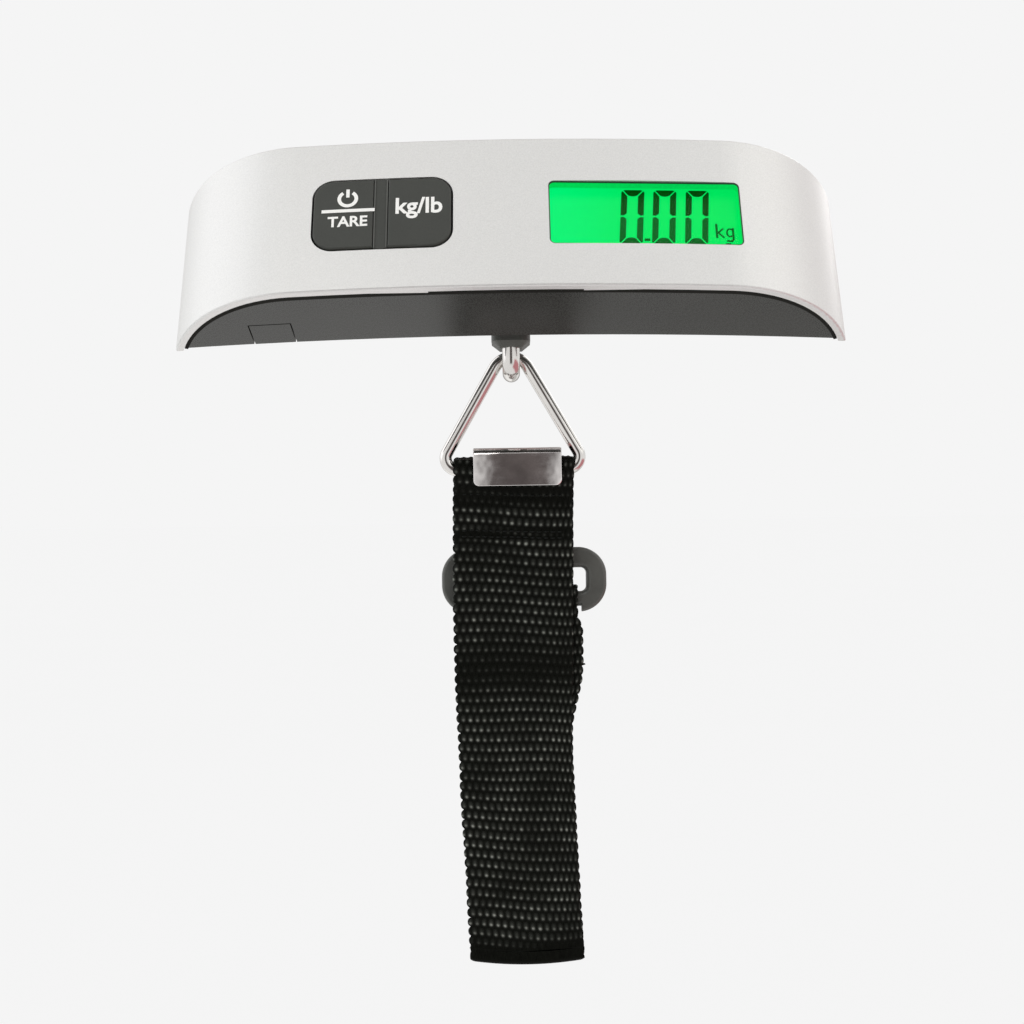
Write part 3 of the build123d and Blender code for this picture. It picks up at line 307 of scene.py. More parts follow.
def painted_float_highlights(tree):
    """Painted highlight of each float by its place in the webbing: a spot and a dim body round it.
    """
    weave_at = node(tree, "ShaderNodeAttribute")
    weave_at.attribute_name = "weave"
    mark = parts_of(tree, weave_at.outputs["Vector"])
    row = math_node(tree, "FLOOR", mark["Y"])
    ds = math_node(tree, "SUBTRACT", math_node(tree, "SUBTRACT", mark["Y"], row), 0.5)
    shift = times(tree, math_node(tree, "FLOORED_MODULO", row, 2), 0.5)
    across = math_node(tree, "ADD", mark["X"], shift)
    rib = math_node(tree, "FLOOR", across)
    du = math_node(tree, "SUBTRACT", math_node(tree, "SUBTRACT", across, rib), 0.5)
    cell = node(tree, "ShaderNodeCombineXYZ")
    link(tree, row, cell.inputs["X"])
    link(tree, rib, cell.inputs["Y"])
    chance = node(tree, "ShaderNodeTexWhiteNoise")
    link(tree, cell.outputs["Vector"], chance.inputs["Vector"])
    own = span(tree, chance.outputs["Value"], 0.18, 1.05, 0.0, 1.0)
    spot = times(tree, float_glow(tree, du, ds, 0.19, 0.13, -0.10), own)
    body = times(tree, float_glow(tree, du, ds, 0.28, 0.30, 0.10), 0.10)
    # the weave's third value is the strength of the painted highlights along the webbing
    return times(tree, math_node(tree, "ADD", spot, body), mark["Z"])


def webbing(name, colour, highlight_colour, rough, woven):
    """Black nylon yarn: fine filaments, and on the weave a dull painted highlight, a lighter spot
    on each float's crown.
    """
    mat, tree, bsdf = new_material(name)
    at = coords(tree)
    fibre = noise(tree, coords(tree, (1, 1, 0.22)), 5200, 3.0, 0.65)
    slow = noise(tree, at, 85, 3.0, 0.6)
    tone = mottled(tree, fibre, colour, 0.6, 1.5)
    if woven:
        # painted highlights on the float crowns, stronger and weaker in slow patches
        floats = times(tree, painted_float_highlights(tree), span(tree, slow, 0.45, 1.15, 0.35, 0.6))
        tone = paint(tree, tone, floats, highlight_colour)
    link(tree, tone, bsdf.inputs["Base Color"])
    link(tree, span(tree, fibre, rough - 0.08, rough + 0.12), bsdf.inputs["Roughness"])
    put(bsdf, Specular_IOR_Level=0.04)
    bump(tree, bsdf, fibre, 0.03 * MM, 0.6)
    return mat


def board_mask():
    """Green solder mask with copper tracks that show as slightly lighter bands."""
    mat = moulded("board_mask", (0.02, 0.16, 0.06), 0.35, 0.3, 0.006)
    tree, bsdf = shader(mat)
    wave = node(tree, "ShaderNodeTexWave", Scale=260, Distortion=9.0, Detail=0.0)
    link(tree, coords(tree), wave.inputs["Vector"])
    stops = [(0.72, (0.015, 0.15, 0.05)), (0.76, (0.04, 0.30, 0.10))]
    link(tree, ramp(tree, wave.outputs["Fac"], stops), bsdf.inputs["Base Color"])
    return mat


def zebra():
    """Striped elastomer: black conductive and pale insulating layers in turn."""
    mat = moulded("zebra_layers", (0.2, 0.2, 0.22), 0.6)
    tree, bsdf = shader(mat)
    wave = node(tree, "ShaderNodeTexWave", Scale=1200)
    link(tree, coords(tree), wave.inputs["Vector"])
    stops = [(0.45, (0.02, 0.02, 0.02)), (0.55, (0.45, 0.42, 0.40))]
    link(tree, ramp(tree, wave.outputs["Fac"], stops), bsdf.inputs["Base Color"])
    return mat


ROW = 2.1                # pitch of the weft rows along the webbing
RIB = 1.53               # pitch of the warp floats across it
CHROME = (0.70, 0.68, 0.66)
STEEL = (0.62, 0.62, 0.60)
BLACK_RUBBER = (0.034, 0.037, 0.031)
SHELL = moulded("dark_shell", (0.032, 0.033, 0.029), 0.27, 0.22, 0.004, 0.08, 14.0)
RUBBER = moulded("key_silicone", BLACK_RUBBER, 0.52, 0.3, 0.010, 0.08)
# the third colour is the painted highlight laid on the yarn's float crowns
YARN = webbing("nylon_yarn", (0.0042, 0.0046, 0.0034), (0.26, 0.275, 0.245), 0.42, True)
THREAD = webbing("nylon_thread", (0.012, 0.013, 0.012), (0.1, 0.1, 0.1), 0.45, False)
# the key print glows faintly: painted light that brightens the white
WHITE_INK = ink("legend_white", (0.84, 0.84, 0.82), 0.12, 0.04)
SILVER = silver_paint()

FINISHES = {
    "top_cover": SILVER,
    "base_shell": SHELL,
    "battery_door": SHELL,
    "display_lens": clear_lens(),
    "lcd_panel": lcd_glow(),
    "lcd_frame": moulded("frame_black", (0.025, 0.026, 0.025), 0.5),
    "backlight_guide": moulded("light_guide", (0.35, 0.8, 0.5), 0.3, 0.6, 0.01, 0.1),
    "backlight_leds": moulded("led_body", (0.82, 0.86, 0.74), 0.3, 0.5, 0.004, 0.06),
    "zebra_strip": zebra(),
    "circuit_board": board_mask(),
    "board_components": moulded("ceramic_chips", (0.55, 0.46, 0.32), 0.45, 0.2),
    "controller_chip": moulded("chip_black", (0.02, 0.02, 0.02), 0.55, 0.15),
    "board_screws": metal("zinc_screws", STEEL, 0.28),
    "tact_switches": moulded("switch_black", (0.03, 0.03, 0.03), 0.5),
    "key_web": RUBBER,
    "power_key": RUBBER,
    "unit_key": RUBBER,
    "power_plunger": moulded("plunger_white", (0.72, 0.72, 0.68), 0.4, 0.3, 0.008, 0.05),
    "unit_plunger": moulded("plunger_white_b", (0.72, 0.72, 0.68), 0.4, 0.3, 0.008, 0.05),
    "load_cell": metal("milled_aluminium", (0.76, 0.77, 0.78), 0.3, (0.1, 1, 1), 0.008),
    "strain_gauges": moulded("gauge_foil", (0.60, 0.34, 0.10), 0.35, 0.3),
    "load_cell_bracket": metal("zinc_bracket", STEEL, 0.3),
    "load_cell_screws": metal("zinc_cell_screws", STEEL, 0.26),
    "stem_bush": moulded("bush_acetal", (0.62, 0.61, 0.56), 0.36, 0.3, 0.006, 0.06),
    "hook_stem": metal("stem_nickel", (0.66, 0.65, 0.63), 0.2, (1, 1, 0.3), 0.004),
    "stem_nut": metal("zinc_nut", STEEL, 0.28),
    "stem_washer": metal("zinc_washer", STEEL, 0.28),
    "fork_pin": metal("pin_nickel", (0.66, 0.65, 0.63), 0.2, (0.2, 1, 1), 0.004),
    "steel_link": metal("link_plate", CHROME, 0.13, (1, 1, 0.2), 0.0004),
    "hook_collar": moulded("collar_plastic", (0.070, 0.074, 0.066), 0.42, 0.25, 0.010, 0.12),
    "triangle_ring": metal("ring_plate", CHROME, 0.13, (1, 1, 1), 0.0004, 0.05, 900),
    "strap_clip": bowed_plate(),
    "buckle": moulded("buckle_acetal", (0.090, 0.092, 0.084), 0.36, 0.35, 0.012, 0.14, 5.0),
    "coin_cell": metal("cell_can", (0.72, 0.72, 0.71), 0.22),
    "battery_contact_positive": metal("contact_brass", (0.78, 0.62, 0.32), 0.25),
    "battery_contact_negative": metal("contact_brass_b", (0.78, 0.62, 0.32), 0.25),
    "sensor_wires": moulded("lead_red", (0.45, 0.03, 0.03), 0.45, 0.3),
    "battery_wires": moulded("lead_black", (0.03, 0.03, 0.035), 0.45, 0.3),
    "cover_screws": metal("zinc_cover_screws", STEEL, 0.28),
}


def dress_frame():
    """Gives each CAD node its finish."""
    for name, mat in FINISHES.items():
        obj = nodes[name]
        for number in range(len(obj.material_slots)):
            obj.material_slots[number].material = mat


# ------------------------ small mesh makers
def clean(mesh, weld=0.0, merge=False):
    """Joins points closer than weld, drops walls shared by two plates, turns the faces outwards."""
    bm = bmesh.new()
    bm.from_mesh(mesh)
    if weld:
        bmesh.ops.remove_doubles(bm, verts=bm.verts, dist=weld)
    if merge:
        seen = {}
        for face in bm.faces:
            seen.setdefault(frozenset(v.index for v in face.verts), []).append(face)
        doubled = [f for group in seen.values() if len(group) > 1 for f in group]
        bmesh.ops.delete(bm, geom=doubled, context="FACES_ONLY")
    bmesh.ops.recalc_face_normals(bm, faces=bm.faces)
    bm.to_mesh(mesh)
    bm.free()


def mesh_object(name, verts, faces, mat, smooth=False):
    """New object from points in metres and faces, with one material."""
    mesh = bpy.data.meshes.new(name)
    mesh.from_pydata([tuple(v) for v in verts], [], faces)
    mesh.update()
    if smooth:
        mesh.polygons.foreach_set("use_smooth", [True] * len(mesh.polygons))
    obj = bpy.data.objects.new(name, mesh)
    bpy.context.scene.collection.objects.link(obj)
    mesh.materials.append(mat)
    clean(mesh)
    return obj


def plate(outline, seat, thick, verts, faces):
    """Adds a thin closed plate to a mesh; seat(a, b, lift) puts an outline point in space."""
    first = len(verts)
    count = len(outline)
    for lift in (0.0, thick):
        verts.extend(seat(a, b, lift) for a, b in outline)
    faces.append(tuple(first + i for i in range(count)))
    faces.append(tuple(first + count + i for i in reversed(range(count))))
    for i in range(count):
        j = (i + 1) % count
        faces.append((first + i, first + j, first + count + j, first + count + i))


def tube_faces(faces, first, rings, sides):
    """Adds the walls and end caps of a tube made of rings of points."""
    for i in range(rings - 1):
        a = first + i * sides
        for k in range(sides):
            m = (k + 1) % sides
            faces.append((a + k, a + m, a + sides + m, a + sides + k))
    faces.append(tuple(first + k for k in range(sides)))
    faces.append(tuple(first + (rings - 1) * sides + k for k in reversed(range(sides))))


def text_plates(text, size, centre, width, weight, seat, thick, name, mat, body):
    """Generic lettering from Blender's own font, as thin plates set on a surface."""
    curve = bpy.data.curves.new(name + "_text", "FONT")
    curve.body = text
    curve.size = size
    curve.align_x = "CENTER"
    curve.align_y = "CENTER"
    curve.offset = weight
    curve.resolution_u = 4
    curve.extrude = 0.5
    source = bpy.data.objects.new(name + "_text", curve)
    bpy.context.scene.collection.objects.link(source)
    bpy.context.view_layer.update()
    mesh = bpy.data.meshes.new_from_object(source)
    bpy.data.objects.remove(source)
    xs = [v.co.x for v in mesh.vertices]
    ys = [v.co.y for v in mesh.vertices]
    mid_x = (min(xs) + max(xs)) / 2
    mid_y = (min(ys) + max(ys)) / 2
    stretch = width / (max(xs) - min(xs))
    for v in mesh.vertices:
        lift = thick if v.co.z > 0 else 0.0
        a = centre[0] + (v.co.x - mid_x) * stretch
        b = centre[1] + (v.co.y - mid_y)
        v.co = seat(a, b, lift)
    mesh.name = name
    mesh.materials.clear()
    mesh.materials.append(mat)
    obj = bpy.data.objects.new(name, mesh)
    bpy.context.scene.collection.objects.link(obj)
    clean(mesh, 0.002 * MM)
    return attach(obj, body)


# ------------------------ key legends
INK_SINK = 0.01
INK_T = 0.05


def on_key(x, p, lift):
    """Point on a key's face; lift 0 lies just inside the rubber."""
    return place(x, p, crown_height(x) + KEY_PROUD - INK_SINK + lift)


def power_symbol():
    """Open ring with a stroke in its gap, and the rule below it, as one printed piece."""
    verts, faces = [], []
    centre_x, centre_p = -32.4, 3.75
    outer, inner = 2.1, 1.35
    gap = math.radians(34)
    steps = 40
    turns = [math.pi / 2 + gap + (2 * math.pi - 2 * gap) * i / steps for i in range(steps + 1)]
    for here, after in zip(turns, turns[1:]):
        quad = []
        for angle, radius in ((here, outer), (here, inner), (after, inner), (after, outer)):
            quad.append((centre_x + radius * math.cos(angle), centre_p + radius * math.sin(angle)))
        plate(quad, on_key, INK_T, verts, faces)
    mark = [(-0.34, 0.35), (0.34, 0.35), (0.34, 2.35), (-0.34, 2.35)]
    plate([(centre_x + a, centre_p + b) for a, b in mark], on_key, INK_T, verts, faces)
    rule_steps = 12
    left, right = -37.6, -26.9
    for i in range(rule_steps):
        a = left + (right - left) * i / rule_steps
        b = left + (right - left) * (i + 1) / rule_steps
        plate([(a, 0.42), (b, 0.42), (b, 1.18), (a, 1.18)], on_key, INK_T, verts, faces)
    obj = mesh_object("power_symbol", verts, faces, WHITE_INK)
    clean(obj.data, 0.001 * MM, merge=True)
    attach(obj, "power")


def key_seams():
    """Thin webs of the silicone that close the slits between the keys and the rib between them;
    their lighter colour is a painted highlight along the slits.
    """
    verts, faces = [], []
    middle, half_rib, slit, half_d = -25.7, 1.1, 0.25, 8.45
    sunk, thick = 0.9, 1.02

    def in_slit(x, p, lift):
        """Point of a web, from its foot below the crown."""
        return place(x, p, crown_height(x) - sunk + lift)

    for side in (-1, 1):
        near = middle + side * half_rib
        far = near + side * slit
        outline = [(near, -half_d), (far, -half_d), (far, half_d), (near, half_d)]
        plate(outline, in_slit, thick, verts, faces)
    # lighter than the key rubber: painted highlight along the slits
    light = moulded("key_seam", (0.085, 0.088, 0.080), 0.45, 0.3)
    obj = mesh_object("key_seams", verts, faces, light)
    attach(obj, "grip")


def key_legends():
    """White print on both keys: text, its size, middle, width and weight in mm, name and body."""
    power_symbol()
    for text, size, middle, width, weight, name, body in (
        ("TARE", 3.5, (-32.3, -1.85), 8.0, 0.09, "tare_legend", "power"),
        ("kg/lb", 5.4, (-18.0, 0.9), 9.4, 0.12, "unit_legend", "unit"),
    ):
        legend = text_plates(
            text, size, middle, width, weight, on_key, INK_T, name, WHITE_INK, body)


# ------------------------ seam between cover and base
def shoulder_centre():
    """Centre of the right shoulder's arc, tangent to the crown's arc and ending at the foot."""
    crown_h = CROWN - CROWN_R
    reach = CROWN_R - SHOULDER_R
    span_to_foot = math.hypot(HALF_LENGTH, crown_h)
    along = (reach ** 2 - SHOULDER_R ** 2 + span_to_foot ** 2) / (2 * span_to_foot)
    across = math.sqrt(reach ** 2 - along ** 2)
    unit_x = HALF_LENGTH / span_to_foot
    unit_h = -crown_h / span_to_foot
    return unit_x * along - unit_h * across, crown_h + unit_h * along + unit_x * across


def arch_line(steps):
    """Points of the cover's arch with their outward directions, from the left foot to the right."""
    centre_x, centre_h = shoulder_centre()
    crown_h = CROWN - CROWN_R
    meet = math.atan2(centre_x, centre_h - crown_h)
    foot = math.acos((FOOT_LIFT - centre_h) / (SHOULDER_R - SEAM_DROP))
    half = []
    for i in range(steps + 1):
        turn = meet * i / steps
        half.append(((CROWN_R * math.sin(turn), crown_h + CROWN_R * math.cos(turn)), turn))
    for i in range(1, steps + 1):
        turn = meet + (foot - meet) * i / steps
        at = (centre_x + SHOULDER_R * math.sin(turn), centre_h + SHOULDER_R * math.cos(turn))
        half.append((at, turn))
    left = [((-x, h), -turn) for (x, h), turn in reversed(half[1:])]
    return left + half


def seam_line():
    """Dark strip in the seam, round the base's edge, on its front and back faces: painted shade for
    the shadow in the gap between cover and base.

    It is widest along the crown and narrows towards the feet.
    """
    # painted shade: a near-black strip where the gap between cover and base lies in shadow
    black = moulded("seam_shade_strip", (0.016, 0.016, 0.014), 0.7, 0.2)
    put(shader(black)[1], Specular_IOR_Level=0.05)
    section = [(0.0, -0.15), (0.0, 0.07), (0.08, 0.14), (0.92, 0.14), (1.0, 0.07), (1.0, -0.15)]
    for name, side in (("seam_shade_front", -1), ("seam_shade_back", 1)):
        verts, faces = [], []
        line = arch_line(40)
        for (x, h), turn in line:
            width = 0.6 + 1.15 * math.cos(turn) ** 2
            for share, out in section:
                inset = SEAM_DROP - 0.08 + share * width
                in_x, in_h = x - inset * math.sin(turn), h - inset * math.cos(turn)
                verts.append(place(in_x, side * (BASE_HALF + out), in_h))
        tube_faces(faces, 0, len(line), len(section))
        obj = mesh_object(name, verts, faces, black)
        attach(obj, "grip")


# ------------------------ display digits
WINDOW_X = 27.4
WINDOW_P = -0.5
LCD_DEPTH = 3.3
SLOPE = -math.asin(WINDOW_X / CROWN_R)
LCD_RUN = ALONG * math.cos(SLOPE) + UP * math.sin(SLOPE)
LCD_NORMAL = UP * math.cos(SLOPE) - ALONG * math.sin(SLOPE)
LCD_ORIGIN = place(WINDOW_X, WINDOW_P, crown_height(WINDOW_X)) - LCD_NORMAL * LCD_DEPTH * MM


def on_lcd(x, p, lift):
    """Point on the panel's face by its place along and across the grip."""
    flat = LCD_RUN * (x - WINDOW_X) + BACK * (p - WINDOW_P) + LCD_NORMAL * (lift - 0.01)
    return LCD_ORIGIN + flat * MM


def segment(verts, faces, points):
    """One bar of a digit; the display's digits lean a little, away from its key side."""
    slanted = [(x + DIGIT_LEAN * (p - LEAN_MID) - DIGIT_SHIFT, p) for x, p in points]
    plate(slanted, on_lcd, INK_T, verts, faces)


DIGIT_LEAN = 0.075
LEAN_MID = 3.7           # height on the panel about which the digits lean
DIGIT_SHIFT = 0.5
DIGIT_W = 4.7
BAR_W = 1.25
DIGIT_TOP = 7.35
DIGIT_WAIST = 0.75
DIGIT_LOW = -6.1
MITRE = 0.16


def digit_half(verts, faces, left, top, bottom, upward):
    """Two uprights and one end bar of a zero, mitred against each other."""
    right = left + DIGIT_W
    end, waist = (top, bottom) if upward else (bottom, top)
    inward = -1 if upward else 1
    slant = 0.45
    for edge, side in ((left, 1), (right, -1)):
        segment(verts, faces, [
            (edge, end + inward * 0.55),
            (edge + side * 0.25, end + inward * 0.30),
            (edge + side * BAR_W, end + inward * (BAR_W + 0.35)),
            (edge + side * BAR_W, waist - inward * (0.30 + slant)),
            (edge + side * BAR_W * 0.5, waist - inward * 0.18),
            (edge, waist - inward * 0.30),
        ])
    segment(verts, faces, [
        (left + 0.42, end + inward * 0.12),
        (left + 0.80, end),
        (right - 0.80, end),
        (right - 0.42, end + inward * 0.12),
        (right - BAR_W - MITRE, end + inward * (BAR_W + 0.06)),
        (right - BAR_W - 0.75, end + inward * (BAR_W + 0.30)),
        (left + BAR_W + 0.75, end + inward * (BAR_W + 0.30)),
        (left + BAR_W + MITRE, end + inward * (BAR_W + 0.06)),
    ])


def stroke(verts, faces, a, b, width):
    """Straight bar from a to b on the panel."""
    run = Vector((b[0] - a[0], b[1] - a[1])).normalized()
    side = Vector((-run.y, run.x)) * width / 2
    near = Vector(a) - run * width * 0.2
    far = Vector(b) + run * width * 0.2
    corners = (near + side, far + side, far - side, near - side)
    plate([tuple(corner) for corner in corners], on_lcd, INK_T, verts, faces)


def unit_lines():
    """Strokes of the letters k and g of the unit mark, with their widths."""
    yield [(42.0, -1.05), (42.0, -4.35)], 0.46
    yield [(43.3, -2.15), (42.3, -3.15), (43.4, -4.35)], 0.36
    bowl = []
    for i in range(11):
        angle = math.radians(50 + 26 * i)
        bowl.append((44.65 + 0.62 * math.cos(angle), -3.15 + 0.95 * math.sin(angle)))
    yield bowl, 0.34
    yield [(45.3, -2.05), (45.3, -4.75), (44.95, -5.25), (44.0, -5.15)], 0.42


def display_digits():
    """Three zeros with a decimal point, the unit mark, and a stray corner of a segment."""
    dark = ink("lcd_dark", (0.0, 0.038, 0.001), 0.9, 0.2)
    dim = ink("lcd_dim", (0.0, 0.068, 0.007), 0.95, 0.2)
    upper, lower = ([], []), ([], [])
    for left in (23.4, 29.95, 36.6):
        digit_half(*upper, left, DIGIT_TOP, DIGIT_WAIST, True)
        digit_half(*lower, left, DIGIT_WAIST, DIGIT_LOW, False)
    segment(*lower, [(28.45, -5.35), (29.6, -5.35), (29.6, -4.75), (28.45, -4.75)])
    segment(*lower, [(44.9, -6.2), (45.9, -6.2), (45.9, -5.7), (44.9, -5.7)])
    for name, (verts, faces), mat in (("digit_tops", upper, dark), ("digit_feet", lower, dim)):
        obj = mesh_object(name, verts, faces, mat)
        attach(obj, "grip")
    verts, faces = [], []
    for line, width in unit_lines():
        for a, b in zip(line, line[1:]):
            stroke(verts, faces, a, b, width)
    mark = mesh_object("unit_mark", verts, faces, dim)
    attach(mark, "grip")


# ------------------------ window trim
def window_loop(grow):
    """Outline of the display window, grown by a margin, from its middle."""
    half_w, half_d, corner = 19.4, 7.8, 1.2
    loop = []
    for side_x, side_p, start in ((1, 1, 0), (-1, 1, 90), (-1, -1, 180), (1, -1, 270)):
        for i in range(9):
            angle = math.radians(start + 11.25 * i)
            loop.append((
                side_x * (half_w - corner) + (corner + grow) * math.cos(angle),
                side_p * (half_d - corner) + (corner + grow) * math.sin(angle),
            ))
    return loop


def window_band(name, rings, mat):
    """Closed band round the window; rings are (growth of the outline, depth below the cover)."""
    verts, faces = [], []
    for grow, depth in rings:
        for a, b in window_loop(grow):
            lift = LCD_DEPTH - depth - (a * a / (2 * CROWN_R) if depth < 1 else 0)
            verts.append(LCD_ORIGIN + (LCD_RUN * a + BACK * b + LCD_NORMAL * lift) * MM)
    count = len(window_loop(0))
    for band in range(len(rings)):
        after = (band + 1) % len(rings)
        for i in range(count):
            j = (i + 1) % count
            faces.append((band * count + i, band * count + j, after * count + j, after * count + i))
    obj = mesh_object(name, verts, faces, mat)
    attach(obj, "grip")


def window_trim():
    """Thin dark band round the lens, painted shade for the shadow line at the window's edge, and
    the lens's own side walls, painted to glow with the display's green light.
    """
    # painted shade: a dark band where the window's edge casts its shadow line
    dark = moulded("lens_shade_line", (0.012, 0.05, 0.025), 0.6, 0.2)
    window_band("lens_shade_line", [(-0.02, 0.16), (-0.24, 0.16), (-0.24, 0.42), (-0.02, 0.42)], dark)
    # painted light: the clear lens walls glow green in place of the display's light seen in them
    glow = ink("lens_wall", (0.0, 0.30, 0.045), 1.55, 0.08)
    window_band("lens_wall", [(-0.02, 0.45), (-0.14, 0.45), (-0.14, 2.36), (-0.02, 2.36)], glow)


# ------------------------ strap webbing
STRAP_X = 0.5
TAIL_X = 1.5
WEB_W = 25.0
WEB_T = 1.3
HANG_Y = PIVOTS["strap_swing"].y
BAR_Z = PIVOTS["strap_swing"].z
FOLD_Y = PIVOTS["strap_unfold"].y
FOLD_Z = PIVOTS["strap_unfold"].z
BUCKLE_Y = PIVOTS["buckle_swing"].y
BUCKLE_BAR_Z = PIVOTS["buckle_swing"].z
TAIL_END_Z = -89.1
TAIL_SEAM = 1.8          # of the joint between the two pieces above the fold's centre
TOP_HEM = 16.0
RELIEF = 0.30            # height of the weave
FOLD_GAP = 0.3           # between the front and the tail behind it
BAR_CLEAR_R = 1.6        # of the loop's inside round the ring's bar
BUCKLE_CLEAR_R = 2.05    # and round the buckle's bar
STEP_S = ROW / 8         # mesh size along the webbing
STEP_U = RIB / 7         # and across its face


def route_length(points):
    """Length of a polyline."""
    return sum((b - a).length for a, b in zip(points, points[1:]))


def sample(points, step):
    """Points spaced evenly along a polyline in the YZ plane, with their lengths from its start."""
    total = route_length(points)
    count = max(2, int(round(total / step)))
    spaced, here, walked = [], 0, 0.0
    for i in range(count + 1):
        at = total * i / count
        leg = points[here + 1] - points[here]
        while here < len(points) - 2 and walked + leg.length < at - 1e-9:
            walked += leg.length
            here += 1
            leg = points[here + 1] - points[here]
        spaced.append((points[here] + leg * ((at - walked) / leg.length), at))
    return spaced


def arc(centre_y, centre_z, radius, start, end, steps):
    """Points on an arc in the YZ plane; angles in degrees from +Y towards +Z."""
    made = []
    for i in range(steps + 1):
        angle = math.radians(start + (end - start) * i / steps)
        y, z = centre_y + radius * math.cos(angle), centre_z + radius * math.sin(angle)
        made.append(Vector((y, z)))
    return made


def rib_phase(u):
    """Count of warp ribs across the webbing; they crowd a little towards its right edge."""
    return (u + WEB_W) / RIB + max(0.0, (u - 6.0) / 6.5) ** 2


def row_phase(u, s):
    """Count of weft rows along the webbing; they run slightly askew and waver."""
    lean = 0.045 + 0.016 * math.sin(s / 11.0)
    return (s + lean * u + 0.20 * math.sin(u / 4.1 + s / 13.0)) / ROW


def weave(ribs, rows):
    """Height of a plain weave, about -0.4 to 1, from the counts of its ribs and rows."""
    row = math.floor(rows)
    ds = rows - row - 0.5
    across = ribs + 0.5 * (row % 2)
    du = across - math.floor(across) - 0.5
    crown = math.exp(-(du / 0.30) ** 2 - (ds / 0.28) ** 2)
    weft = math.exp(-((abs(du) - 0.5) / 0.22) ** 2 - (ds / 0.36) ** 2)
    return crown + 0.30 * weft - 0.25 * (2 * abs(ds)) ** 6 - 0.15


def selvedge(rows):
    """Rounded outward bump of the edge yarn: 0 in the notch between two rows, 1 at its middle."""
    frac = rows - math.floor(rows)
    return math.sqrt(max(0.0, 1 - (2 * frac - 1) ** 2))


def ease(value, low, high):
    """Smooth step from 0 at low to 1 at high."""
    t = min(1.0, max(0.0, (value - low) / (high - low)))
    return t * t * (3 - 2 * t)


def sway(z):
    """How far the hanging strap drifts sideways from its straight line, by height."""
    down = (BAR_Z - z) / (BAR_Z - FOLD_Z)
    bend = -0.85 * math.sin(math.pi * min(1.0, max(0.0, down * 0.95 + 0.10)))
    return bend + 0.65 * ease(down, 0.55, 0.92) + 0.35 * ease(down, 0.88, 1.0)


def narrowing(z):
    """Width of the strap by height, as a share: it cups a little over its middle."""
    down = (BAR_Z - z) / (BAR_Z - FOLD_Z)
    return 1.015 - 0.057 * ease(down, 0.35, 0.62) + 0.016 * ease(down, 0.85, 1.0)


def belly(u, z):
    """The folded end hangs a little lower in its middle than at its edges."""
    return (0.25 - 0.95 * (2 * u / WEB_W) ** 2) * (1 - ease(z, FOLD_Z, FOLD_Z + 12))


def wander(s, seed):
    """Slow unevenness along the webbing, within -1 to 1."""
    slow = math.sin(s * 0.11 + seed) * 0.5
    return slow + math.sin(s * 0.29 + seed * 2.3) * 0.3 + math.sin(s * 0.83 + seed) * 0.2


def web_strip(name, line, centre, edge_waves, bands, shine, tuck_in=0.0, pinch=0.0):
    """Webbing swept along a line of the YZ plane, woven on both faces, as one closed mesh.

    centre(y, z) is the middle's place along X, edge_waves the sizes of the left and right
    selvedge's bumps, bands the stretches pressed flat by sewing, by length from the start,
    shine(z) the strength of the painted highlights on the yarn's floats, tuck_in how far the left
    selvedge draws in, and pinch how far the right one does where the webbing passes through the
    buckle.
    """
    spaced = sample(line, STEP_S)
    count = len(spaced)
    front_steps = int(WEB_W / STEP_U)
    back_steps = front_steps // 2
    shares = [k / front_steps for k in range(front_steps + 1)]
    shares += [1 - k / back_steps for k in range(back_steps + 1)]
    ring = len(shares)
    verts, faces, marks = [], [], []
    for i, (point, s) in enumerate(spaced):
        before = spaced[max(0, i - 1)][0]
        after = spaced[min(count - 1, i + 1)][0]
        run = (after - before).normalized()
        side = Vector((-run.y, run.x))
        flat = 1.0
        for low, high, share in bands:
            inside = min((s - low) / 0.8, (high - s) / 0.8)
            if inside > 0:
                flat = min(flat, 1 - (1 - share) * min(1.0, inside))
        # strength of the painted highlights here, also lowered where sewing presses the weave flat
        lit = flat * shine(point.y)
        width = narrowing(point.y)
        middle = centre(point.x, point.y)
        tuck = tuck_in * ease(s, 4.0, 12.0)
        left_bump = selvedge(row_phase(-WEB_W / 2, s))
        right_bump = selvedge(row_phase(WEB_W / 2, s))
        left = -WEB_W / 2 + tuck - edge_waves[0] * (left_bump - 0.7) + 0.12 * wander(s, 1.0)
        drawn = pinch * ease(point.y, BUCKLE_BAR_Z - 7, BUCKLE_BAR_Z - 3)
        right = WEB_W / 2 - drawn + edge_waves[1] * (right_bump - 0.7) + 0.12 * wander(s, 4.0)
        for k, share in enumerate(shares):
            face = 1 if k <= front_steps else -1
            u = left + (right - left) * share
            ribs = rib_phase(u) + 0.16 * wander(s * 1.7, 7.0)
            rows = row_phase(u, s)
            edge = min(share, 1 - share) * WEB_W
            thin = min(1.0, math.sqrt(max(0.0, edge) / 0.9))
            height = WEB_T / 2 - RELIEF + RELIEF * flat * weave(ribs, rows)
            off = side * face * height * (0.30 + 0.70 * thin)
            sag = belly(u, point.y)
            verts.append(Vector((middle + u * width, point.x + off.x, point.y + off.y - sag)) * MM)
            marks.extend((ribs, rows, lit))
    tube_faces(faces, 0, count, ring)
    obj = mesh_object(name, verts, faces, YARN, smooth=True)
    for cap in (-1, -2):
        obj.data.polygons[cap].use_smooth = False
    weave_at = obj.data.attributes.new("weave", "FLOAT_VECTOR", "POINT")
    weave_at.data.foreach_set("vector", marks)
    return obj, route_length(line)


def front_line():
    """From the seam above the fold, up the front, over the ring's bar and down the hem behind."""
    half = WEB_T / 2
    line = [Vector((HANG_Y - half, FOLD_Z + TAIL_SEAM)), Vector((HANG_Y - half, BAR_Z - 6.0))]
    line += arc(HANG_Y, BAR_Z, BAR_CLEAR_R + half, 200, -20, 40)
    line += [Vector((HANG_Y + half, BAR_Z - 6.0)), Vector((HANG_Y + half, BAR_Z - TOP_HEM))]
    return line


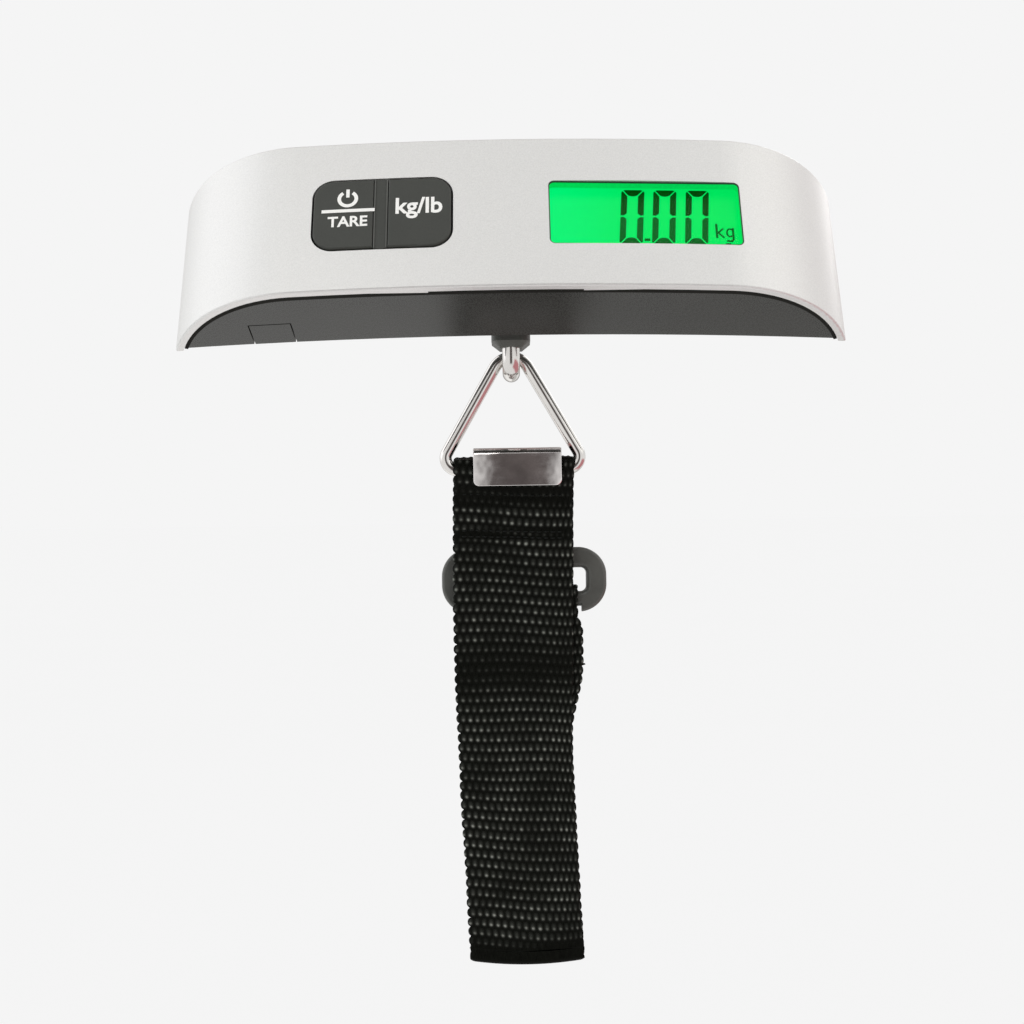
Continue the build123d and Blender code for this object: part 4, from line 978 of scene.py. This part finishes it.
def tail_line():
    """Round the fold, up the tail, over the buckle's bar and down the sewn return."""
    half = WEB_T / 2
    tail_y = HANG_Y + FOLD_GAP + half
    line = [Vector((HANG_Y - half, FOLD_Z + TAIL_SEAM))]
    line += arc(FOLD_Y, FOLD_Z, 0.15 + half, 180, 360, 16)
    line += [Vector((tail_y, BUCKLE_BAR_Z - 7.5))]
    line += arc(BUCKLE_Y, BUCKLE_BAR_Z, BUCKLE_CLEAR_R + half, 200, -20, 40)
    line += [Vector((tail_y + WEB_T, BUCKLE_BAR_Z - 7.5)), Vector((tail_y + WEB_T, TAIL_END_Z))]
    return line


def front_centre(_, z):
    """The front hangs from the ring with the strap's own sway."""
    return STRAP_X + sway(z)


def tail_centre(y, z):
    """The tail leaves the fold in line with the front and drifts over above its sewn end."""
    behind = ease(y, HANG_Y, HANG_Y + 1.0)
    over = behind * ease(z, TAIL_END_Z - 14, TAIL_END_Z - 1)
    creep = 0.15 * behind * ease(z, FOLD_Z + 2, FOLD_Z + 12)
    return STRAP_X + (sway(z) + creep) * (1 - over) + (TAIL_X + 0.25 - STRAP_X) * over


def front_shine(z):
    """Strength of the painted highlights on the floats by height: least where the strap bows in,
    near the top by the clip, and at the fold.
    """
    top = 0.35 * ease(z, -75, -60) - 0.75 * ease(z, -52, -49)
    dip = 0.88 * math.exp(-((z + 89.5) / 5.5) ** 2)
    low = 0.20 * (1 - ease(z, -104, -97))
    return (0.85 + top + low) * (1 - dip) * ease(z, FOLD_Z + 1.5, FOLD_Z + 6.5)


def tail_shine(z):
    """Strength of the painted highlights on the tail's floats, faded only at the fold."""
    return 0.8 * ease(z, FOLD_Z + 3, FOLD_Z + 9)


def stitch_row(name, y, z, normal_y, body, width, lean, centre):
    """A row of lock stitches: short rounded threads that dip into the webbing at both ends."""
    verts, faces = [], []
    stitch, radius = 1.45, 0.22
    centre_x = centre(y, z)
    count = int(width / stitch)
    segs, sides = 6, 6
    for n in range(count):
        x0 = centre_x - width / 2 + (n + 0.12) * stitch
        x1 = x0 + stitch * 0.76
        wobble = (dice.random() - 0.5) * 0.16
        first = len(verts)
        for i in range(segs + 1):
            t = i / segs
            x = x0 + (x1 - x0) * t
            bow = math.sin(math.pi * t)
            cz = z + lean * (x - centre_x) + wobble
            cy = y + normal_y * (bow * 0.22 - 0.06)
            size = radius * (0.55 + 0.45 * bow)
            for k in range(sides):
                angle = 2 * math.pi * k / sides
                rim_y, rim_z = cy + size * math.cos(angle), cz + size * math.sin(angle)
                verts.append(Vector((x, rim_y, rim_z)) * MM)
        tube_faces(faces, first, segs + 1, sides)
    obj = mesh_object(name, verts, faces, THREAD, smooth=True)
    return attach(obj, body)


def fray(name, y, z, body, width, centre):
    """Heat-sealed cut end: a thin uneven bead of melted yarn."""
    verts, faces = [], []
    centre_x = centre(y, z)
    steps, sides = 90, 8
    for i in range(steps + 1):
        x = centre_x + width * (i / steps - 0.5)
        swell = 0.42 + 0.16 * math.sin(i * 1.9) * math.sin(i * 0.37) + 0.10 * (dice.random() - 0.5)
        close = min(1.0, min(i, steps - i) / 3 + 0.25)
        for k in range(sides):
            angle = 2 * math.pi * k / sides
            cy = y + 0.62 * close * math.cos(angle)
            cz = z + swell * close * math.sin(angle)
            verts.append(Vector((x, cy, cz)) * MM)
    tube_faces(faces, 0, steps + 1, sides)
    obj = mesh_object(name, verts, faces, THREAD, smooth=True)
    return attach(obj, body)


SEAM_W = 22.4            # length of a row of stitches


def hem_rows(name, y, heights, normal_y, body, lean, centre):
    """Rows of stitches of one seam, across the webbing."""
    return [stitch_row(f"{name}_{i}", y, z, normal_y, body, SEAM_W, lean, centre)
            for i, z in enumerate(heights)]


def strap():
    """The strap: front and tail as woven sheets, with their stitches and sealed ends."""
    start_z = FOLD_Z + TAIL_SEAM
    pressed = ((-50.0, -55.6, 0.1), (-59.2, -62.6, 0.12), (start_z + 1.5, start_z - 1.0, 0.0))
    bands = [(low - start_z, top - start_z, share) for top, low, share in pressed]
    front, front_length = web_strip(
        "strap_front_web", front_line(), front_centre, (0.85, 0.22), bands, front_shine)
    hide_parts("strap_front")
    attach(front, "strap")
    front_y = HANG_Y - WEB_T + RELIEF
    back_y = HANG_Y + WEB_T - RELIEF
    end_y = HANG_Y + WEB_T / 2
    lean, mid = -0.03, front_centre
    pieces = hem_rows("hem_stitches", front_y, (-52.6, -60.3, -61.6), -1, "strap", lean, mid)
    pieces.append(stitch_row("hem_stitches_back", back_y, -60.3, 1, "strap", SEAM_W, lean, mid))
    pieces.append(fray("hem_cut_end", end_y, BAR_Z - TOP_HEM, "strap", 24.2, mid))

    bands = [(-1.0, 5.5, 0.0)]
    tail, tail_length = web_strip(
        "strap_tail_web", tail_line(), tail_centre, (0.3, 0.55), bands, tail_shine, 0.75, 1.0)
    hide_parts("strap_back")
    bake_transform(tail)
    back_y = HANG_Y + FOLD_GAP + 2 * WEB_T - RELIEF
    end_y = HANG_Y + FOLD_GAP + 1.5 * WEB_T
    pieces = hem_rows("tail_stitches", back_y, (-84.2, -87.0), 1, "tail", 0.0, tail_centre)
    pieces.append(fray("tail_cut_end", end_y, TAIL_END_Z, "tail", 26.4, tail_centre))


# ------------------------ stage, lights and camera
PALE = 0.913             # the backdrop's brightness


def pale_floor():
    """A large pale floor, kept as bright as the backdrop so that no horizon shows."""
    mat, tree, bsdf = new_material("pale_floor")
    tone = noise(tree, coords(tree), 3.0)
    stops = [(0.3, (0.010, 0.010, 0.010)), (0.7, (0.012, 0.012, 0.012))]
    link(tree, ramp(tree, tone, stops), bsdf.inputs["Base Color"])
    put(bsdf, Roughness=0.9, Specular_IOR_Level=0.0)
    put(bsdf, Emission_Color=(PALE, PALE, PALE, 1), Emission_Strength=0.985)
    size, height = 40.0, -0.30
    corners = [(x * size, y * size, height) for x, y in ((-1, -1), (1, -1), (1, 1), (-1, 1))]
    floor = mesh_object("floor", corners, [(0, 1, 2, 3)], mat)
    floor.visible_glossy = False
    floor.visible_diffuse = False


def lobe(tree, direction, towards, low, high):
    """How much of a soft patch of the surroundings lies in a direction."""
    dot = node(tree, "ShaderNodeVectorMath")
    dot.operation = "DOT_PRODUCT"
    link(tree, direction, dot.inputs[0])
    dot.inputs[1].default_value = Vector(towards).normalized()
    return smooth_span(tree, dot.outputs["Value"], low, high)


def smooth_span(tree, source, low, high):
    """Smooth step of a socket, from 0 at low to 1 at high; low may be the larger of the two."""
    made = node(tree, "ShaderNodeMapRange", From_Min=min(low, high), From_Max=max(low, high))
    made.interpolation_type = "SMOOTHSTEP"
    rising = low < high
    put(made, To_Min=0.0 if rising else 1.0, To_Max=1.0 if rising else 0.0)
    link(tree, source, made.inputs["Value"])
    return made.outputs["Result"]


def soft_world():
    """Pale studio light: bright upper sides, a dark gap behind the camera, a pink patch.

    Camera rays see one flat pale tone instead.
    """
    world = bpy.data.worlds.new("studio")
    bpy.context.scene.world = world
    world.use_nodes = True
    tree = world.node_tree
    back = tree.nodes["Background"]
    seen = node(tree, "ShaderNodeBackground", Color=(PALE, PALE, PALE, 1))
    where = node(tree, "ShaderNodeTexCoord").outputs["Generated"]
    x, y, z = parts_of(tree, where)
    sky = smooth_span(tree, z, -0.1, 0.3)
    tone = paint(tree, (1.0, 1.0, 0.99), sky, (0.92, 0.92, 0.91))
    left_light = lobe(tree, where, (-0.876, 0.07, 0.48), 0.75, 0.95)
    tone = paint(tree, tone, left_light, (1.60, 1.60, 1.62))
    right_light = lobe(tree, where, (0.68, -0.30, 0.67), 0.80, 0.97)
    tone = paint(tree, tone, right_light, (1.55, 1.54, 1.50))
    warm = times(tree, smooth_span(tree, x, 0.22, 0.42),
                 smooth_span(tree, y, 0.65, 0.4), smooth_span(tree, y, -0.78, -0.58),
                 smooth_span(tree, z, -0.06, -0.20), smooth_span(tree, z, -0.86, -0.68))
    tone = paint(tree, tone, warm, (0.62, 0.27, 0.29))
    tone = paint(tree, tone, smooth_span(tree, y, 0.80, 0.95), (0.42, 0.41, 0.40))
    behind = times(tree, smooth_span(tree, y, 0.2, 0.4), smooth_span(tree, z, -0.4, -0.6))
    right = times(tree, behind, smooth_span(tree, x, 0.0, 0.08))
    tone = paint(tree, tone, behind, (1.2, 1.2, 1.18))
    tone = paint(tree, tone, right, (0.66, 0.66, 0.64))
    above = lobe(tree, where, (0.0, 0.55, 0.83), 0.86, 0.96)
    tone = paint(tree, tone, above, (0.30, 0.24, 0.23))
    gap = smooth_span(tree, math_node(tree, "ABSOLUTE", x), 0.34, 0.18)
    ahead = smooth_span(tree, y, -0.25, -0.55)
    level = times(tree, smooth_span(tree, z, 0.80, 0.62), smooth_span(tree, z, -0.62, -0.42))
    tone = paint(tree, tone, times(tree, gap, ahead, level), (0.115, 0.10, 0.097))
    link(tree, tone, back.inputs["Color"])
    ray = node(tree, "ShaderNodeLightPath")
    mix = node(tree, "ShaderNodeMixShader")
    link(tree, ray.outputs["Is Camera Ray"], mix.inputs["Fac"])
    link(tree, back.outputs["Background"], mix.inputs[1])
    link(tree, seen.outputs["Background"], mix.inputs[2])
    link(tree, mix.outputs["Shader"], tree.nodes["World Output"].inputs["Surface"])


AIM = Vector((0, 0, -0.05))
EYE = Vector((-0.3, -338.9, -56.2)) * MM


def softbox(name, at, size, power, colour=(1, 1, 1)):
    """A square soft light of a size in metres that faces the object."""
    light = bpy.data.lights.new(name, "AREA")
    light.shape = "RECTANGLE"
    light.size = size
    light.size_y = size
    light.energy = power
    light.color = colour
    obj = bpy.data.objects.new(name, light)
    bpy.context.scene.collection.objects.link(obj)
    obj.location = at
    obj.rotation_mode = "QUATERNION"
    obj.rotation_quaternion = (AIM - Vector(at)).to_track_quat("-Z", "Y")
    obj.visible_camera = False


def lights():
    """A key light over the left shoulder of the camera, and one behind the object."""
    softbox("key", (-0.45, -0.95, 1.0), 0.45, 1.6, (1.0, 0.99, 0.97))
    softbox("rear", (0.6, 1.1, 0.6), 0.7, 2.0)


def camera():
    """Level camera in front of the object, turned a little about its own axis."""
    data = bpy.data.cameras.new("camera")
    data.lens = 58.1
    data.sensor_width = 36.0
    data.clip_start = 0.01
    obj = bpy.data.objects.new("camera", data)
    bpy.context.scene.collection.objects.link(obj)
    roll = math.radians(-0.88)
    upright = Matrix.Rotation(math.pi / 2, 4, "X") @ Matrix.Rotation(roll, 4, "Z")
    obj.matrix_world = Matrix.Translation(EYE) @ upright
    bpy.context.scene.camera = obj


bpy.context.scene.view_settings.view_transform = "Standard"
camera()
soft_world()
pale_floor()
lights()
dress_frame()
key_legends()
display_digits()
window_trim()
seam_line()
key_seams()
strap()
